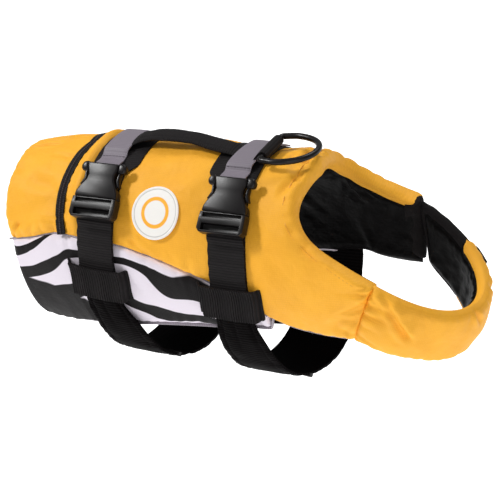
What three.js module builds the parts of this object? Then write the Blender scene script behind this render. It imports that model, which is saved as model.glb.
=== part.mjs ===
// A dog life jacket in its worn shape, in millimetres. +X points to the dog's front, +Z is up and -Y is the
// near side.
// The origin is on the lining at the top of the mid-back, where the wearer's back carries the jacket.
import * as THREE from 'three';
import { mergeVertices } from 'three/addons/utils/BufferGeometryUtils.js';

// Driving dimensions
const SHELL_TOP = 18.5;           // height of the shell's outside above the lining at the mid-back
const FOAM = 16;                  // foam and its cover
const LOWER_FOAM = 15.4;          // foam of the lower panels
const LINING = 2;                 // lining cloth and its scrim
const SEAM = 0.3;                 // gap between touching pieces
const UNDER = 0.55;               // gap between the foam and the lining
const WEBBING = 1.8;              // thickness of the strap webbing
const WEBBING_WIDTH = 38;
const TOP_WIDTH = 26;             // reflective webbing over the back
const ANCHOR_EXTRA = 12;          // how much wider the black webbing is where the handle is sewn on
const EDGE_ROUND = 4;             // width of the rounded edge of a foam panel
const ROUND_OUT = 0.24;           // share of the thickness where a panel's edge starts
const ROUND_IN = 0.8;             // and where it ends

// The body's cross-sections: height of the top, of the widest place and of the bottom, and the half width.
const SECTIONS = [
  { x: -215, top: 1.5, middle: -67.5, bottom: -181.5, half: 70 },
  { x: -140, top: 13.5, middle: -69.5, bottom: -189.5, half: 80 },
  { x: -84, top: 17.5, middle: -73.5, bottom: -193.5, half: 85 },
  { x: 0, top: SHELL_TOP, middle: -75.5, bottom: -197.5, half: 85 },
  { x: 50, top: SHELL_TOP, middle: -77.5, bottom: -198.5, half: 85 },
  { x: 100, top: SHELL_TOP, middle: -75.5, bottom: -199.5, half: 86 },
  { x: 150, top: SHELL_TOP, middle: -73.5, bottom: -198.5, half: 84 },
  { x: 200, top: 16.5, middle: -71.5, bottom: -197.5, half: 83 },
  { x: 245, top: 12.5, middle: -71.5, bottom: -192.5, half: 80 },
];

// Edges of the cut pieces, as the distance along the back at an angle down from the crest.
const HEM = [
  { angle: 0, x: -209 }, { angle: 40, x: -206 }, { angle: 62, x: -204 }, { angle: 85, x: -197 },
  { angle: 105, x: -196 }, { angle: 128, x: -195 }, { angle: 140, x: -190 },
];
const POCKET_SEAM = [
  { angle: 0, x: -126 }, { angle: 15, x: -130 }, { angle: 47, x: -133 }, { angle: 60, x: -132 },
  { angle: 73, x: -129 },
];
const NECK_RIM = [
  { angle: 0, x: 119 }, { angle: 20, x: 115 }, { angle: 32, x: 113 }, { angle: 40, x: 114 },
  { angle: 48, x: 119 }, { angle: 56, x: 128 }, { angle: 63, x: 141 }, { angle: 72, x: 164 },
];

// Lower edges, as the angle down from the crest at a distance along the back.
const COLOUR_LINE = [
  { x: -200, angle: 86 }, { x: -174, angle: 81 }, { x: -134, angle: 73.2 }, { x: -108, angle: 73 },
  { x: -72, angle: 73.6 }, { x: -20, angle: 79.8 }, { x: 21, angle: 87.2 }, { x: 79, angle: 102.2 },
  { x: 100, angle: 108.6 }, { x: 117, angle: 111.5 }, { x: 143, angle: 114 }, { x: 167, angle: 115 },
];
const BELLY_EDGE = [
  { x: -199, angle: 139 }, { x: -188, angle: 143 }, { x: -175, angle: 144 }, { x: -128, angle: 136 },
  { x: -43, angle: 122 }, { x: 25, angle: 115.4 }, { x: 79, angle: 111.4 }, { x: 117, angle: 111.5 },
  { x: 143, angle: 114 }, { x: 167, angle: 115 },
];

// The chest band's two ends on the side panels, and its front.
const NEAR_SEAM = { top: { x: 195, angle: 83 }, bottom: { x: 167, angle: 115 } };
const FAR_SEAM = { top: { x: 181, angle: 77 }, bottom: { x: 180, angle: 109 } };
const CHEST_FRONT_TOP = { x: 271, z: -109.5 };
const CHEST_FRONT_BOTTOM = { x: 249, z: -162.5 };
const CHEST_FOAM = 14;
const CHEST_SWELL = 3.5;          // how far the middle of the band bulges
const CHEST_LEAN = -0.25;         // its outside faces a little down
const CHEST_UNDER = 0.8;          // gap between its foam and its lining
const CLOSURE_FROM = 0.6;         // share of the far half of the band where its yellow foam ends

// The two belt lines: the strap's rise over the fold, its shift under the handle, and the places of both.
const BELTS = [
  { name: 'rear', rise: 1.2, anchorShift: 5, strapTop: -88, strapSide: -89,
    bandNear: -82, bandMid: -64, bandFar: -60 },
  { name: 'front', rise: 0, anchorShift: -4, strapTop: 46, strapSide: 52,
    bandNear: 54, bandMid: 69, bandFar: 78 },
];
const BAND_WIDTH_KEEPER = 40;
const BAND_WIDTH_NEAR = 49;
const BAND_WIDTH_MID = 66;
const BAND_WIDTH_FAR = 62;
const BAND_THICK = 3;
const BUCKLE_ANGLE = 43;          // how far down the near side the buckles sit
const BUCKLE = { width: 50, length: 50, thick: 11, split: 4 };
const KEEPER = { width: 67, flatTo: 27, from: 88, to: 104, thick: 2, ribs: 12, rib: 0.8 };
const PATCH = { x: -25.5, angle: 51, radius: 24.5, thick: 1.5 };
const HANDLE = { half: 10.5, thick: 6 };
const RING = { bar: 68, tip: 116, halfSpan: 27, wire: 3, tilt: 2 };
const TAB_HALF = 19;
const TAB_TAIL = 17;

const radians = THREE.MathUtils.degToRad;
const clamp01 = (value) => Math.min(1, Math.max(0, value));
const mix = THREE.MathUtils.lerp;
const smooth = (value, from, to) => THREE.MathUtils.smoothstep(value, from, to);

// Reads one column of a table by a smooth curve through its rows, without overshoot.
function read(table, key, column, at) {
  const last = table.length - 1;
  if (at <= table[0][key]) return table[0][column];
  if (at >= table[last][key]) return table[last][column];
  let row = 0;
  while (at > table[row + 1][key]) row += 1;
  const step = (i) => table[i + 1][key] - table[i][key];
  const slope = (i) => (table[i + 1][column] - table[i][column]) / step(i);
  const tangent = (i) => {
    if (i === 0) return slope(0);
    if (i === last) return slope(last - 1);
    const before = slope(i - 1);
    const after = slope(i);
    if (before * after <= 0) return 0;
    return 2 * before * after / (before + after);
  };
  const h = step(row);
  const t = (at - table[row][key]) / h;
  const a = table[row][column];
  const b = table[row + 1][column];
  return a * (1 + 2 * t) * (1 - t) ** 2 + b * t * t * (3 - 2 * t)
    + h * t * (1 - t) * (tangent(row) * (1 - t) - tangent(row + 1) * t);
}

// The shell's smooth outside at a distance along the back and an angle, negative on the near side.
function bodyShape(x, angle) {
  const a = radians(angle);
  const middle = read(SECTIONS, 'x', 'middle', x);
  const upper = Math.cos(a) >= 0;
  const reach = upper ? read(SECTIONS, 'x', 'top', x) - middle : middle - read(SECTIONS, 'x', 'bottom', x);
  const side = read(SECTIONS, 'x', 'half', x) * Math.sin(a);
  return new THREE.Vector3(x, side, middle + reach * Math.cos(a));
}

// Moves a point of a surface out along its normal. The surface takes two values.
function lifted(surface, u, v, lift, du, dv) {
  const point = surface(u, v);
  const along = surface(u + du, v).sub(surface(u - du, v));
  const across = surface(u, v + dv).sub(surface(u, v - dv));
  return point.addScaledVector(along.cross(across).normalize(), lift);
}

// The raised soft roll of the shell in front of the curved seam.
const ROLL = { x: -117, height: 3, spread: 8 };
function foldLift(x, angle) {
  const fade = 1 - smooth(Math.abs(angle), 55, 76);
  const roll = ROLL.height * Math.exp(-(((x - ROLL.x) / ROLL.spread) ** 2));
  return fade * roll;
}

const bodyPoint = (x, angle, lift) => lifted(bodyShape, x, angle, lift, 1, 1);
const onShell = (x, angle, lift) => bodyPoint(x, angle, lift + foldLift(x, angle));

// A closed wall from a grid of outer points and one of inner points. point(i, j, inside) gives each.
function wall(rows, columns, point) {
  const positions = [];
  const indices = [];
  const count = (rows + 1) * (columns + 1);
  for (const inside of [false, true]) {
    for (let i = 0; i <= rows; i += 1) {
      for (let j = 0; j <= columns; j += 1) positions.push(...point(i, j, inside).toArray());
    }
  }
  const at = (i, j, inside) => (inside ? count : 0) + i * (columns + 1) + j;
  const quad = (a, b, c, d) => indices.push(a, b, c, a, c, d);
  for (let i = 0; i < rows; i += 1) {
    for (let j = 0; j < columns; j += 1) {
      quad(at(i, j, false), at(i + 1, j, false), at(i + 1, j + 1, false), at(i, j + 1, false));
      quad(at(i, j, true), at(i, j + 1, true), at(i + 1, j + 1, true), at(i + 1, j, true));
    }
  }
  for (let i = 0; i < rows; i += 1) {
    quad(at(i, 0, false), at(i, 0, true), at(i + 1, 0, true), at(i + 1, 0, false));
    quad(at(i, columns, false), at(i + 1, columns, false), at(i + 1, columns, true), at(i, columns, true));
  }
  for (let j = 0; j < columns; j += 1) {
    quad(at(0, j, false), at(0, j + 1, false), at(0, j + 1, true), at(0, j, true));
    quad(at(rows, j, false), at(rows, j, true), at(rows, j + 1, true), at(rows, j + 1, false));
  }
  const geometry = new THREE.BufferGeometry();
  geometry.setAttribute('position', new THREE.Float32BufferAttribute(positions, 3));
  geometry.setIndex(indices);
  return outward(geometry);
}

// Turns a closed mesh so that its faces point out.
function outward(geometry) {
  const place = geometry.getAttribute('position');
  const index = geometry.getIndex();
  const corner = [new THREE.Vector3(), new THREE.Vector3(), new THREE.Vector3()];
  let volume = 0;
  for (let k = 0; k < index.count; k += 3) {
    corner.forEach((c, n) => c.fromBufferAttribute(place, index.getX(k + n)));
    volume += corner[0].dot(corner[1].clone().cross(corner[2]));
  }
  if (volume < 0) {
    for (let k = 0; k < index.count; k += 3) {
      const keep = index.getX(k);
      index.setX(k, index.getX(k + 1));
      index.setX(k + 1, keep);
    }
  }
  geometry.computeVertexNormals();
  return geometry;
}

// Shares for a row of grid lines from 0 to 1, with a narrow first and last step for a rounded edge.
function shares(count, length) {
  const edge = Math.min(0.2, EDGE_ROUND / length);
  const list = [0];
  for (let k = 0; k <= count - 2; k += 1) list.push(mix(edge, 1 - edge, k / (count - 2)));
  list.push(1);
  return list;
}

// A foam panel with rounded edges. surfacePoint(s, t, lift) gives its points, s and t from 0 to 1.
function foamPanel(sCount, tCount, sLength, tLength, thick, surfacePoint) {
  const sShares = shares(sCount, sLength);
  const tShares = shares(tCount, tLength);
  return wall(sCount, tCount, (i, j, inside) => {
    const border = i === 0 || j === 0 || i === sCount || j === tCount;
    const outer = border ? -thick * ROUND_OUT : 0;
    const inner = border ? -thick * ROUND_IN : -thick;
    return surfacePoint(sShares[i], tShares[j], inside ? inner : outer);
  });
}

// A point of a half panel between four edges, each given as distance and angle. s runs to the front, t down.
function patchPoint(crest, lower, back, front, s, t) {
  const c = crest(s);
  const l = lower(s);
  const b = back(t);
  const f = front(t);
  const b0 = back(0);
  const b1 = back(1);
  const f0 = front(0);
  const f1 = front(1);
  const blend = (key) => (1 - t) * c[key] + t * l[key] + (1 - s) * b[key] + s * f[key]
    - (1 - s) * (1 - t) * b0[key] - (1 - s) * t * b1[key] - s * (1 - t) * f0[key] - s * t * f1[key];
  return { x: blend('x'), angle: blend('angle') };
}

// A point on an edge table, a share of the way from one angle to another.
function onEdge(table, from, to, share) {
  const angle = mix(from, to, share);
  return { x: read(table, 'angle', 'x', angle), angle };
}

// A point on a lower edge, a share of the way from one distance to another.
function onLower(table, from, to, share) {
  const x = mix(from, to, share);
  return { x, angle: read(table, 'x', 'angle', x) };
}

// The front edge of the main panel: the neck rim, then the seam with the chest band.
const RIM_SHARE = 0.68;
function frontEdge(seam, t) {
  if (t <= RIM_SHARE) {
    const share = t / RIM_SHARE;
    const angle = share * seam.top.angle;
    const rim = [...NECK_RIM.filter((row) => row.angle < seam.top.angle - 4), seam.top];
    return { x: read(rim, 'angle', 'x', angle), angle };
  }
  const share = (t - RIM_SHARE) / (1 - RIM_SHARE);
  return { x: mix(seam.top.x, seam.bottom.x, share), angle: mix(seam.top.angle, seam.bottom.angle, share) };
}

// Main shell panel over the back and both sides. The trims draw its edges in, the lower one in degrees.
const SEAM_END = 73;              // angle where the curved seam meets the colour line
const LOWER_TRIM = 0.2;
function mainPoint(s, across, backTrim, frontTrim, lowerTrim) {
  const t = Math.abs(across);
  const near = across <= 0;
  const seam = near ? NEAR_SEAM : FAR_SEAM;
  const backX = (angle) => read(POCKET_SEAM, 'angle', 'x', angle) + backTrim;
  const crest = (share) => ({ x: mix(backX(0), NECK_RIM[0].x - frontTrim, share), angle: 0 });
  const lower = (share) => {
    const p = onLower(COLOUR_LINE, backX(SEAM_END), seam.bottom.x - frontTrim, share);
    return { x: p.x, angle: p.angle - lowerTrim };
  };
  const back = (share) => {
    const angle = share * lower(0).angle;
    return { x: backX(angle), angle };
  };
  const front = (share) => {
    const p = frontEdge(seam, share);
    return { x: p.x - frontTrim, angle: Math.min(p.angle, seam.bottom.angle) - lowerTrim * share };
  };
  const fixedLower = (share) => {
    const p = lower(share);
    const end = front(1).angle - lower(1).angle;
    return { x: p.x, angle: p.angle + end * share };
  };
  const p = patchPoint(crest, fixedLower, back, front, s, t);
  return { x: p.x, angle: near ? -p.angle : p.angle };
}

function mainPanel() {
  return foamPanel(22, 30, 300, 400, FOAM, (s, t, lift) => {
    const p = mainPoint(s, 2 * t - 1, SEAM, SEAM, LOWER_TRIM);
    return lift < -FOAM / 2 ? bodyPoint(p.x, p.angle, lift) : onShell(p.x, p.angle, lift);
  });
}

// Rear panel over the loin, from the hem to the curved seam.
function rearPanel() {
  return foamPanel(9, 26, 78, 330, FOAM, (s, t, lift) => {
    const across = 2 * t - 1;
    const share = Math.abs(across);
    const hem = onEdge(HEM, 0, 85.5, share);
    const seamAngle = share * SEAM_END;
    const seam = { x: read(POCKET_SEAM, 'angle', 'x', seamAngle) - SEAM, angle: seamAngle };
    const x = mix(hem.x, seam.x, s);
    const lower = read(COLOUR_LINE, 'x', 'angle', x) - LOWER_TRIM;
    return bodyPoint(x, Math.sign(across) * share * lower, lift);
  });
}

// Patterned lower panel of one side, which narrows to a point under the front strap.
const LOWER_END = 84;
function lowerPanel(side) {
  return foamPanel(18, 6, 285, 100, LOWER_FOAM, (s, t, lift) => {
    const hemAngle = mix(86.5, 139, t);          // along the hem, below the yellow
    const x = mix(read(HEM, 'angle', 'x', hemAngle), LOWER_END, s);
    const upper = read(COLOUR_LINE, 'x', 'angle', x) + LOWER_TRIM;
    const lower = read(BELLY_EDGE, 'x', 'angle', x);
    return bodyPoint(x, side * mix(upper, lower, t), lift);
  });
}

// Black lining under all the foam of the body, drawn in from the rims.
const LINING_IN = 9;
const LINING_LOW = 3;             // degrees that its lower edge is drawn in
const LINING_HEM_END = 137;       // angle where the hem meets the lower edge
function bodyLining() {
  const rows = 16;
  const columns = 28;
  const hemX = (angle) => read(HEM, 'angle', 'x', angle) + LINING_IN;
  const neckX = NECK_RIM[0].x - LINING_IN - SEAM;
  const crest = (share) => ({ x: mix(hemX(0), neckX, share), angle: 0 });
  const back = (share) => ({ x: hemX(share * LINING_HEM_END), angle: share * LINING_HEM_END });
  return wall(rows, columns, (i, j, inside) => {
    const across = 2 * (j / columns) - 1;
    const seam = across <= 0 ? NEAR_SEAM : FAR_SEAM;
    const lower = (share) => {
      const p = onLower(BELLY_EDGE, hemX(LINING_HEM_END), seam.bottom.x - SEAM, share);
      return { x: p.x, angle: p.angle - LINING_LOW };
    };
    const front = (share) => {
      const edge = frontEdge(seam, share);
      const trim = SEAM + LINING_IN * (1 - smooth(share, RIM_SHARE - 0.1, RIM_SHARE));
      return { x: edge.x - trim, angle: edge.angle - LINING_LOW * share };
    };
    const p = patchPoint(crest, lower, back, front, i / rows, Math.abs(across));
    const lift = -FOAM - UNDER - (inside ? LINING : 0);
    return bodyPoint(p.x, Math.sign(across) * p.angle, lift);
  });
}

// The chest band's outside. turn runs from -1 at the near seam to 1 at the far seam, down from 0 to 1.
function chestShape(turn, down) {
  const seam = turn <= 0 ? NEAR_SEAM : FAR_SEAM;
  const a = turn * Math.PI / 2;
  const forward = Math.cos(a);
  const edge = (end, front, power) => {
    const side = bodyShape(end.x, Math.sign(turn || 1) * end.angle);
    const x = end.x + (front.x - end.x) * forward;
    const y = Math.abs(side.y) * Math.sin(a);
    return new THREE.Vector3(x, y, mix(side.z, front.z, Math.max(0, forward) ** power));
  };
  const top = edge(seam.top, CHEST_FRONT_TOP, 1.15);
  const bottom = edge(seam.bottom, CHEST_FRONT_BOTTOM, turn <= 0 ? 1.1 : 0.6);
  const swell = CHEST_SWELL * Math.sin(Math.PI * clamp01(down));
  const point = top.lerp(bottom, down);
  const outwards = new THREE.Vector3(forward, Math.sin(a), CHEST_LEAN).normalize();
  return point.addScaledVector(outwards, swell);
}
const chestPoint = (turn, down, lift) => lifted(chestShape, turn, down, lift, 0.01, -0.02);

// The band's foam runs from the near seam to the closure, and the closure's tab on to the far seam.
const NEAR_END = -0.9995;
const FAR_END = 0.992;
function chestBand() {
  const point = (s, t, lift) => chestPoint(mix(NEAR_END, CLOSURE_FROM, s), t, lift);
  return foamPanel(22, 5, 230, 60, CHEST_FOAM, point);
}

function chestLining() {
  const rows = 20;
  return wall(rows, 2, (i, j, inside) => {
    const turn = mix(NEAR_END + 0.03, 0.93, i / rows);
    return chestPoint(turn, mix(0.1, 0.9, j / 2), -CHEST_FOAM - CHEST_UNDER - (inside ? LINING : 0));
  });
}

// Black hook-and-loop tab that joins the far side panel to the band, and the webbing over the joint.
const TAB_SUNK = 5;               // how far the tab lies below the foam's outside
function closureTab() {
  const rows = 8;
  return wall(rows, 4, (i, j, inside) => {
    const turn = mix(CLOSURE_FROM + 0.012, FAR_END, i / rows);
    return chestPoint(turn, mix(0.02, 0.97, j / 4), inside ? -CHEST_FOAM : -TAB_SUNK);
  });
}

function closureWebbing() {
  const rows = 10;
  return wall(rows, 3, (i, j, inside) => {
    const turn = mix(CLOSURE_FROM - 0.12, 0.86, i / rows);
    const dip = (TAB_SUNK - 0.4) * smooth(turn, CLOSURE_FROM, CLOSURE_FROM + 0.08);
    return chestPoint(turn, mix(0.12, 0.8, j / 3), SEAM + (inside ? 0 : WEBBING) - dip);
  });
}

// A strap across the body: its centre is a distance at each angle, and it is flat over its width.
function strapOnShell(fromAngle, toAngle, steps, centre, width, low, high) {
  return wall(steps, 2, (i, j, inside) => {
    const angle = mix(fromAngle, toAngle, i / steps);
    const x = centre(angle) + width(angle) * (j / 2 - 0.5);
    return bodyPoint(x, angle, inside ? low : high);
  });
}

const strapCentre = (belt, angle) => mix(belt.strapTop, belt.strapSide, smooth(Math.abs(angle), 20, 80));

// The belly band's centre and width, by how far round it is: 0 on the near side, 1 on the far side.
function bandPlace(belt, share) {
  const rows = [
    { share: 0, bulge: 0, centre: belt.strapSide, width: BAND_WIDTH_KEEPER },
    { share: 0.05, bulge: 0, centre: belt.strapSide, width: BAND_WIDTH_KEEPER },
    { share: 0.14, bulge: 2, centre: belt.bandNear, width: BAND_WIDTH_NEAR },
    { share: 0.28, bulge: 5, centre: mix(belt.bandNear, belt.bandMid, 0.4), width: 56 },
    { share: 0.5, bulge: -2, centre: belt.bandMid, width: BAND_WIDTH_MID },
    { share: 0.72, bulge: 3, centre: mix(belt.bandMid, belt.bandFar, 0.6), width: 64 },
    { share: 1, bulge: 0, centre: belt.bandFar, width: BAND_WIDTH_FAR },
  ];
  const column = (name) => read(rows, 'share', name, share);
  return { bulge: column('bulge'), centre: column('centre'), width: column('width') };
}

const BAND_LIFT = WEBBING + 2 * SEAM;
const BAND_FROM = -97;            // sewn on below the near strap's end
const BAND_TO = -(360 - 104);     // and below the far one's
function bellyBand(belt) {
  const rows = 32;
  return wall(rows, 2, (i, j, inside) => {
    const share = i / rows;
    const { bulge, centre, width } = bandPlace(belt, share);
    const x = centre + width * (j / 2 - 0.5);
    const lift = belt.rise + BAND_LIFT + bulge + (inside ? 0 : BAND_THICK);
    return bodyPoint(x, mix(BAND_FROM, BAND_TO, share), lift);
  });
}

// A ribbed elastic keeper across the strap, sewn down beside it.
function keeper(belt) {
  const columns = 3 * KEEPER.ribs;
  const centre = belt.strapSide - 1;
  return wall(columns, 2, (i, j, inside) => {
    const across = i / columns - 0.5;
    const x = centre + KEEPER.width * across;
    const off = Math.abs(across) * KEEPER.width;
    const raised = 1 - smooth(off, KEEPER.flatTo, KEEPER.flatTo + 5);
    const base = 2 * SEAM + raised * (belt.rise + WEBBING + BAND_THICK + 3 * SEAM);
    const wave = 0.5 - 0.5 * Math.cos(2 * Math.PI * KEEPER.ribs * (i / columns));
    const lift = inside ? base : base + KEEPER.thick + KEEPER.rib * wave;
    return bodyPoint(x, -mix(KEEPER.from, KEEPER.to, j / 2), lift);
  });
}

// The round patch on the near side, as a disc made from the shell's points.
function roundPatch() {
  const rings = 3;
  const turns = 28;
  const middle = bodyShape(PATCH.x, -PATCH.angle);
  const down = bodyShape(PATCH.x, -PATCH.angle - 1).distanceTo(middle);
  const positions = [];
  const indices = [];
  const add = (radius, turn, lift) => {
    const a = 2 * Math.PI * turn / turns;
    const x = PATCH.x + radius * Math.cos(a);
    const angle = -PATCH.angle + radius * Math.sin(a) / down;
    positions.push(...bodyPoint(x, angle, lift).toArray());
  };
  for (const lift of [SEAM + PATCH.thick, SEAM]) {
    add(0, 0, lift);
    for (let r = 1; r <= rings; r += 1) {
      for (let t = 0; t < turns; t += 1) add(PATCH.radius * r / rings, t, lift);
    }
  }
  const layer = 1 + rings * turns;
  const at = (side, r, t) => side * layer + 1 + (r - 1) * turns + (t % turns);
  for (const side of [0, 1]) {
    const face = (a, b, c) => (side === 0 ? indices.push(a, b, c) : indices.push(a, c, b));
    for (let t = 0; t < turns; t += 1) {
      face(side * layer, at(side, 1, t), at(side, 1, t + 1));
      for (let r = 1; r < rings; r += 1) {
        face(at(side, r, t), at(side, r + 1, t), at(side, r + 1, t + 1));
        face(at(side, r, t), at(side, r + 1, t + 1), at(side, r, t + 1));
      }
    }
  }
  for (let t = 0; t < turns; t += 1) {
    indices.push(at(0, rings, t), at(1, rings, t), at(1, rings, t + 1));
    indices.push(at(0, rings, t), at(1, rings, t + 1), at(0, rings, t + 1));
  }
  const geometry = new THREE.BufferGeometry();
  geometry.setAttribute('position', new THREE.Float32BufferAttribute(positions, 3));
  geometry.setIndex(indices);
  return outward(geometry);
}

// The curved black tape over the seam between the rear and the main panel.
const TAPE = { width: 8, thick: 1.4, end: 72.5 };
function seamTape() {
  const rows = 34;
  return wall(rows, 2, (i, j, inside) => {
    const angle = mix(-TAPE.end, TAPE.end, i / rows);
    const x = read(POCKET_SEAM, 'angle', 'x', Math.abs(angle)) + TAPE.width * (j / 2 - 0.5);
    return bodyPoint(x, angle, SEAM + foldLift(x, angle) + (inside ? 0 : TAPE.thick));
  });
}

// Turns an extruded geometry into one closed indexed mesh.
function closed(geometry) {
  geometry.deleteAttribute('normal');
  geometry.deleteAttribute('uv');
  const merged = mergeVertices(geometry, 1e-4);
  merged.computeVertexNormals();
  return merged;
}

// A flat outline in its own plane with holes, extruded by a thickness.
function plate(points, holes, depth) {
  const shape = new THREE.Shape(points.map(([x, y]) => new THREE.Vector2(x, y)));
  holes.forEach((hole) => shape.holes.push(new THREE.Path(hole.map(([x, y]) => new THREE.Vector2(x, y)))));
  return new THREE.ExtrudeGeometry(shape, { depth, bevelEnabled: false, steps: 1 });
}

const box = (x0, y0, x1, y1) => [[x0, y0], [x1, y0], [x1, y1], [x0, y1]];

// The carrying handle: a padded strip that arches along the crest from belt to belt.
const HANDLE_PATH = [
  { x: -92, z: 27.2 }, { x: -82, z: 27.2 }, { x: -72, z: 28 }, { x: -62, z: 31 }, { x: -53, z: 33.6 },
  { x: -46, z: 34.5 }, { x: -14, z: 34.5 }, { x: -6, z: 33.4 }, { x: 6, z: 30 }, { x: 18, z: 27.9 },
  { x: 28, z: 27.2 }, { x: 38, z: 27 }, { x: 48, z: 27 },
];
function handle() {
  const last = HANDLE_PATH.length - 1;
  return wall(last, 4, (i, j, inside) => {
    const { x, z } = HANDLE_PATH[i];
    const before = HANDLE_PATH[Math.max(0, i - 1)];
    const after = HANDLE_PATH[Math.min(last, i + 1)];
    const lean = Math.atan2(after.z - before.z, after.x - before.x);
    const y = HANDLE.half * (j / 2 - 1);
    const side = Math.abs(j - 2) === 2;
    const top = side ? -HANDLE.thick * 0.2 : 0;
    const bottom = side ? -HANDLE.thick * 0.8 : -HANDLE.thick;
    const drop = inside ? bottom : top;
    const grip = 1 - 0.32 * (smooth(x, 8, 24) + 1 - smooth(x, -72, -56));
    return new THREE.Vector3(x - Math.sin(lean) * drop * grip, y, z + Math.cos(lean) * drop * grip);
  });
}

// The leash ring: a round wire bent to a D, its straight bar in the tab.
function ringPath() {
  const path = [];
  const depth = RING.tip - RING.bar;
  path.push([0, -RING.halfSpan], [0, 0], [0, RING.halfSpan]);
  const turns = 14;
  for (let k = 1; k < turns; k += 1) {
    const a = Math.PI * k / turns;
    const bow = Math.sin(a);
    path.push([3 + (depth - 3) * bow ** 0.75, RING.halfSpan * 1.04 * Math.cos(a)]);
  }
  return path.map(([x, y]) => new THREE.Vector3(x, y, 0));
}

function closedWire(path, radius, sides) {
  const count = path.length;
  const positions = [];
  const indices = [];
  const up = new THREE.Vector3(0, 0, 1);
  path.forEach((p, i) => {
    const tangent = path[(i + 1) % count].clone().sub(path[(i + count - 1) % count]).normalize();
    const outwards = tangent.clone().cross(up).normalize();
    for (let k = 0; k < sides; k += 1) {
      const a = 2 * Math.PI * k / sides;
      const q = p.clone().addScaledVector(outwards, radius * Math.cos(a));
      positions.push(...q.addScaledVector(up, radius * Math.sin(a)).toArray());
    }
  });
  for (let i = 0; i < count; i += 1) {
    for (let k = 0; k < sides; k += 1) {
      const a = i * sides + k;
      const b = i * sides + (k + 1) % sides;
      const c = ((i + 1) % count) * sides + (k + 1) % sides;
      const d = ((i + 1) % count) * sides + k;
      indices.push(a, b, c, a, c, d);
    }
  }
  const geometry = new THREE.BufferGeometry();
  geometry.setAttribute('position', new THREE.Float32BufferAttribute(positions, 3));
  geometry.setIndex(indices);
  return outward(geometry);
}

// The webbing tab: a flat tail on the strap and a sleeve round the ring's bar, cut in profile and extruded.
const RING_Z = SHELL_TOP + 9.6;
function ringTab() {
  const sleeve = RING.wire + 3.2;
  const bore = RING.wire + 0.5;
  const outline = [];
  const tailTop = -3.2;
  const tailBottom = tailTop - WEBBING;
  const turns = 14;
  const start = Math.PI - Math.asin(tailTop / sleeve);
  const end = -Math.PI - Math.asin(tailBottom / sleeve);
  for (let k = 0; k <= turns; k += 1) {
    const a = mix(start, end, k / turns);
    outline.push([sleeve * Math.cos(a), sleeve * Math.sin(a)]);
  }
  outline.push([-TAB_TAIL, tailBottom], [-TAB_TAIL, tailTop]);
  const hole = [];
  for (let k = 0; k < 12; k += 1) {
    const a = 2 * Math.PI * k / 12;
    hole.push([bore * Math.cos(a), bore * Math.sin(a)]);
  }
  const geometry = plate(outline, [hole], 2 * TAB_HALF);
  geometry.rotateX(Math.PI / 2);
  geometry.translate(RING.bar, TAB_HALF, RING_Z);
  return outward(closed(geometry));
}

// A side-release buckle on the near side, in its own plane: x along the back, y up the strap.
function bucklePose(belt) {
  const x = strapCentre(belt, BUCKLE_ANGLE);
  const middle = bodyPoint(x, -BUCKLE_ANGLE, 0);
  const out = bodyPoint(x, -BUCKLE_ANGLE, 1).sub(middle).setX(0).normalize();
  const along = new THREE.Vector3(1, 0, 0);
  const up = out.clone().cross(along).normalize();
  const matrix = new THREE.Matrix4().makeBasis(along, up, out);
  matrix.setPosition(middle.addScaledVector(out, belt.rise + WEBBING + 2 * SEAM));
  return matrix;
}

// Its socket and plug as flat outlines with their webbing slots, split across the middle.
function buckleHalves() {
  const w = BUCKLE.width / 2;
  const h = BUCKLE.length / 2;
  const split = BUCKLE.split;
  const socketOutline = [
    [-w, split - 9], [-w + 2, split], [w - 2, split], [w, split - 9],
    [w - 1, -h + 12], [w - 6, -h], [-w + 6, -h], [-w + 1, -h + 12],
  ];
  const joint = split + 0.4;
  const plugOutline = [
    [-w + 6, joint], [-w + 6, split + 8], [-w + 2, split + 13], [-w, h - 6], [-w + 4, h],
    [w - 4, h], [w, h - 6], [w - 2, split + 13], [w - 6, split + 8], [w - 6, joint],
  ];
  const socketSlot = box(-w + 8, -h + 4.5, w - 8, -h + 10);
  const plugSlots = [box(-w + 7, h - 14, w - 7, h - 10.5), box(-w + 7, h - 7, w - 7, h - 3.5)];
  return {
    socket: plate(socketOutline, [socketSlot], BUCKLE.thick),
    plug: plate(plugOutline, plugSlots, BUCKLE.thick * 0.72),
  };
}

// Colours and finish of the materials.
const cloth = (color) => new THREE.MeshStandardMaterial({ color, roughness: 0.8, metalness: 0 });
const plastic = (color) => new THREE.MeshStandardMaterial({ color, roughness: 0.4, metalness: 0 });
const YELLOW = '#fbb23e';
const BLACK = '#1c181a';
const GREY = '#8e8690';
const PALE = '#e4dce6';

const jacket = new THREE.Group();
function add(name, geometry, material) {
  const mesh = new THREE.Mesh(geometry, material);
  mesh.name = name;
  jacket.add(mesh);
  return mesh;
}

add('main_shell', mainPanel(), cloth(YELLOW));
add('rear_shell', rearPanel(), cloth(YELLOW));
add('lower_panel_near', lowerPanel(-1), cloth(PALE));
add('lower_panel_far', lowerPanel(1), cloth(PALE));
add('body_lining', bodyLining(), cloth(BLACK));
add('seam_tape', seamTape(), cloth(BLACK));
add('chest_band', chestBand(), cloth(YELLOW));
add('chest_lining', chestLining(), cloth(BLACK));
add('closure_tab', closureTab(), cloth(BLACK));
add('closure_webbing', closureWebbing(), cloth(BLACK));
add('round_patch', roundPatch(), cloth(PALE));

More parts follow.
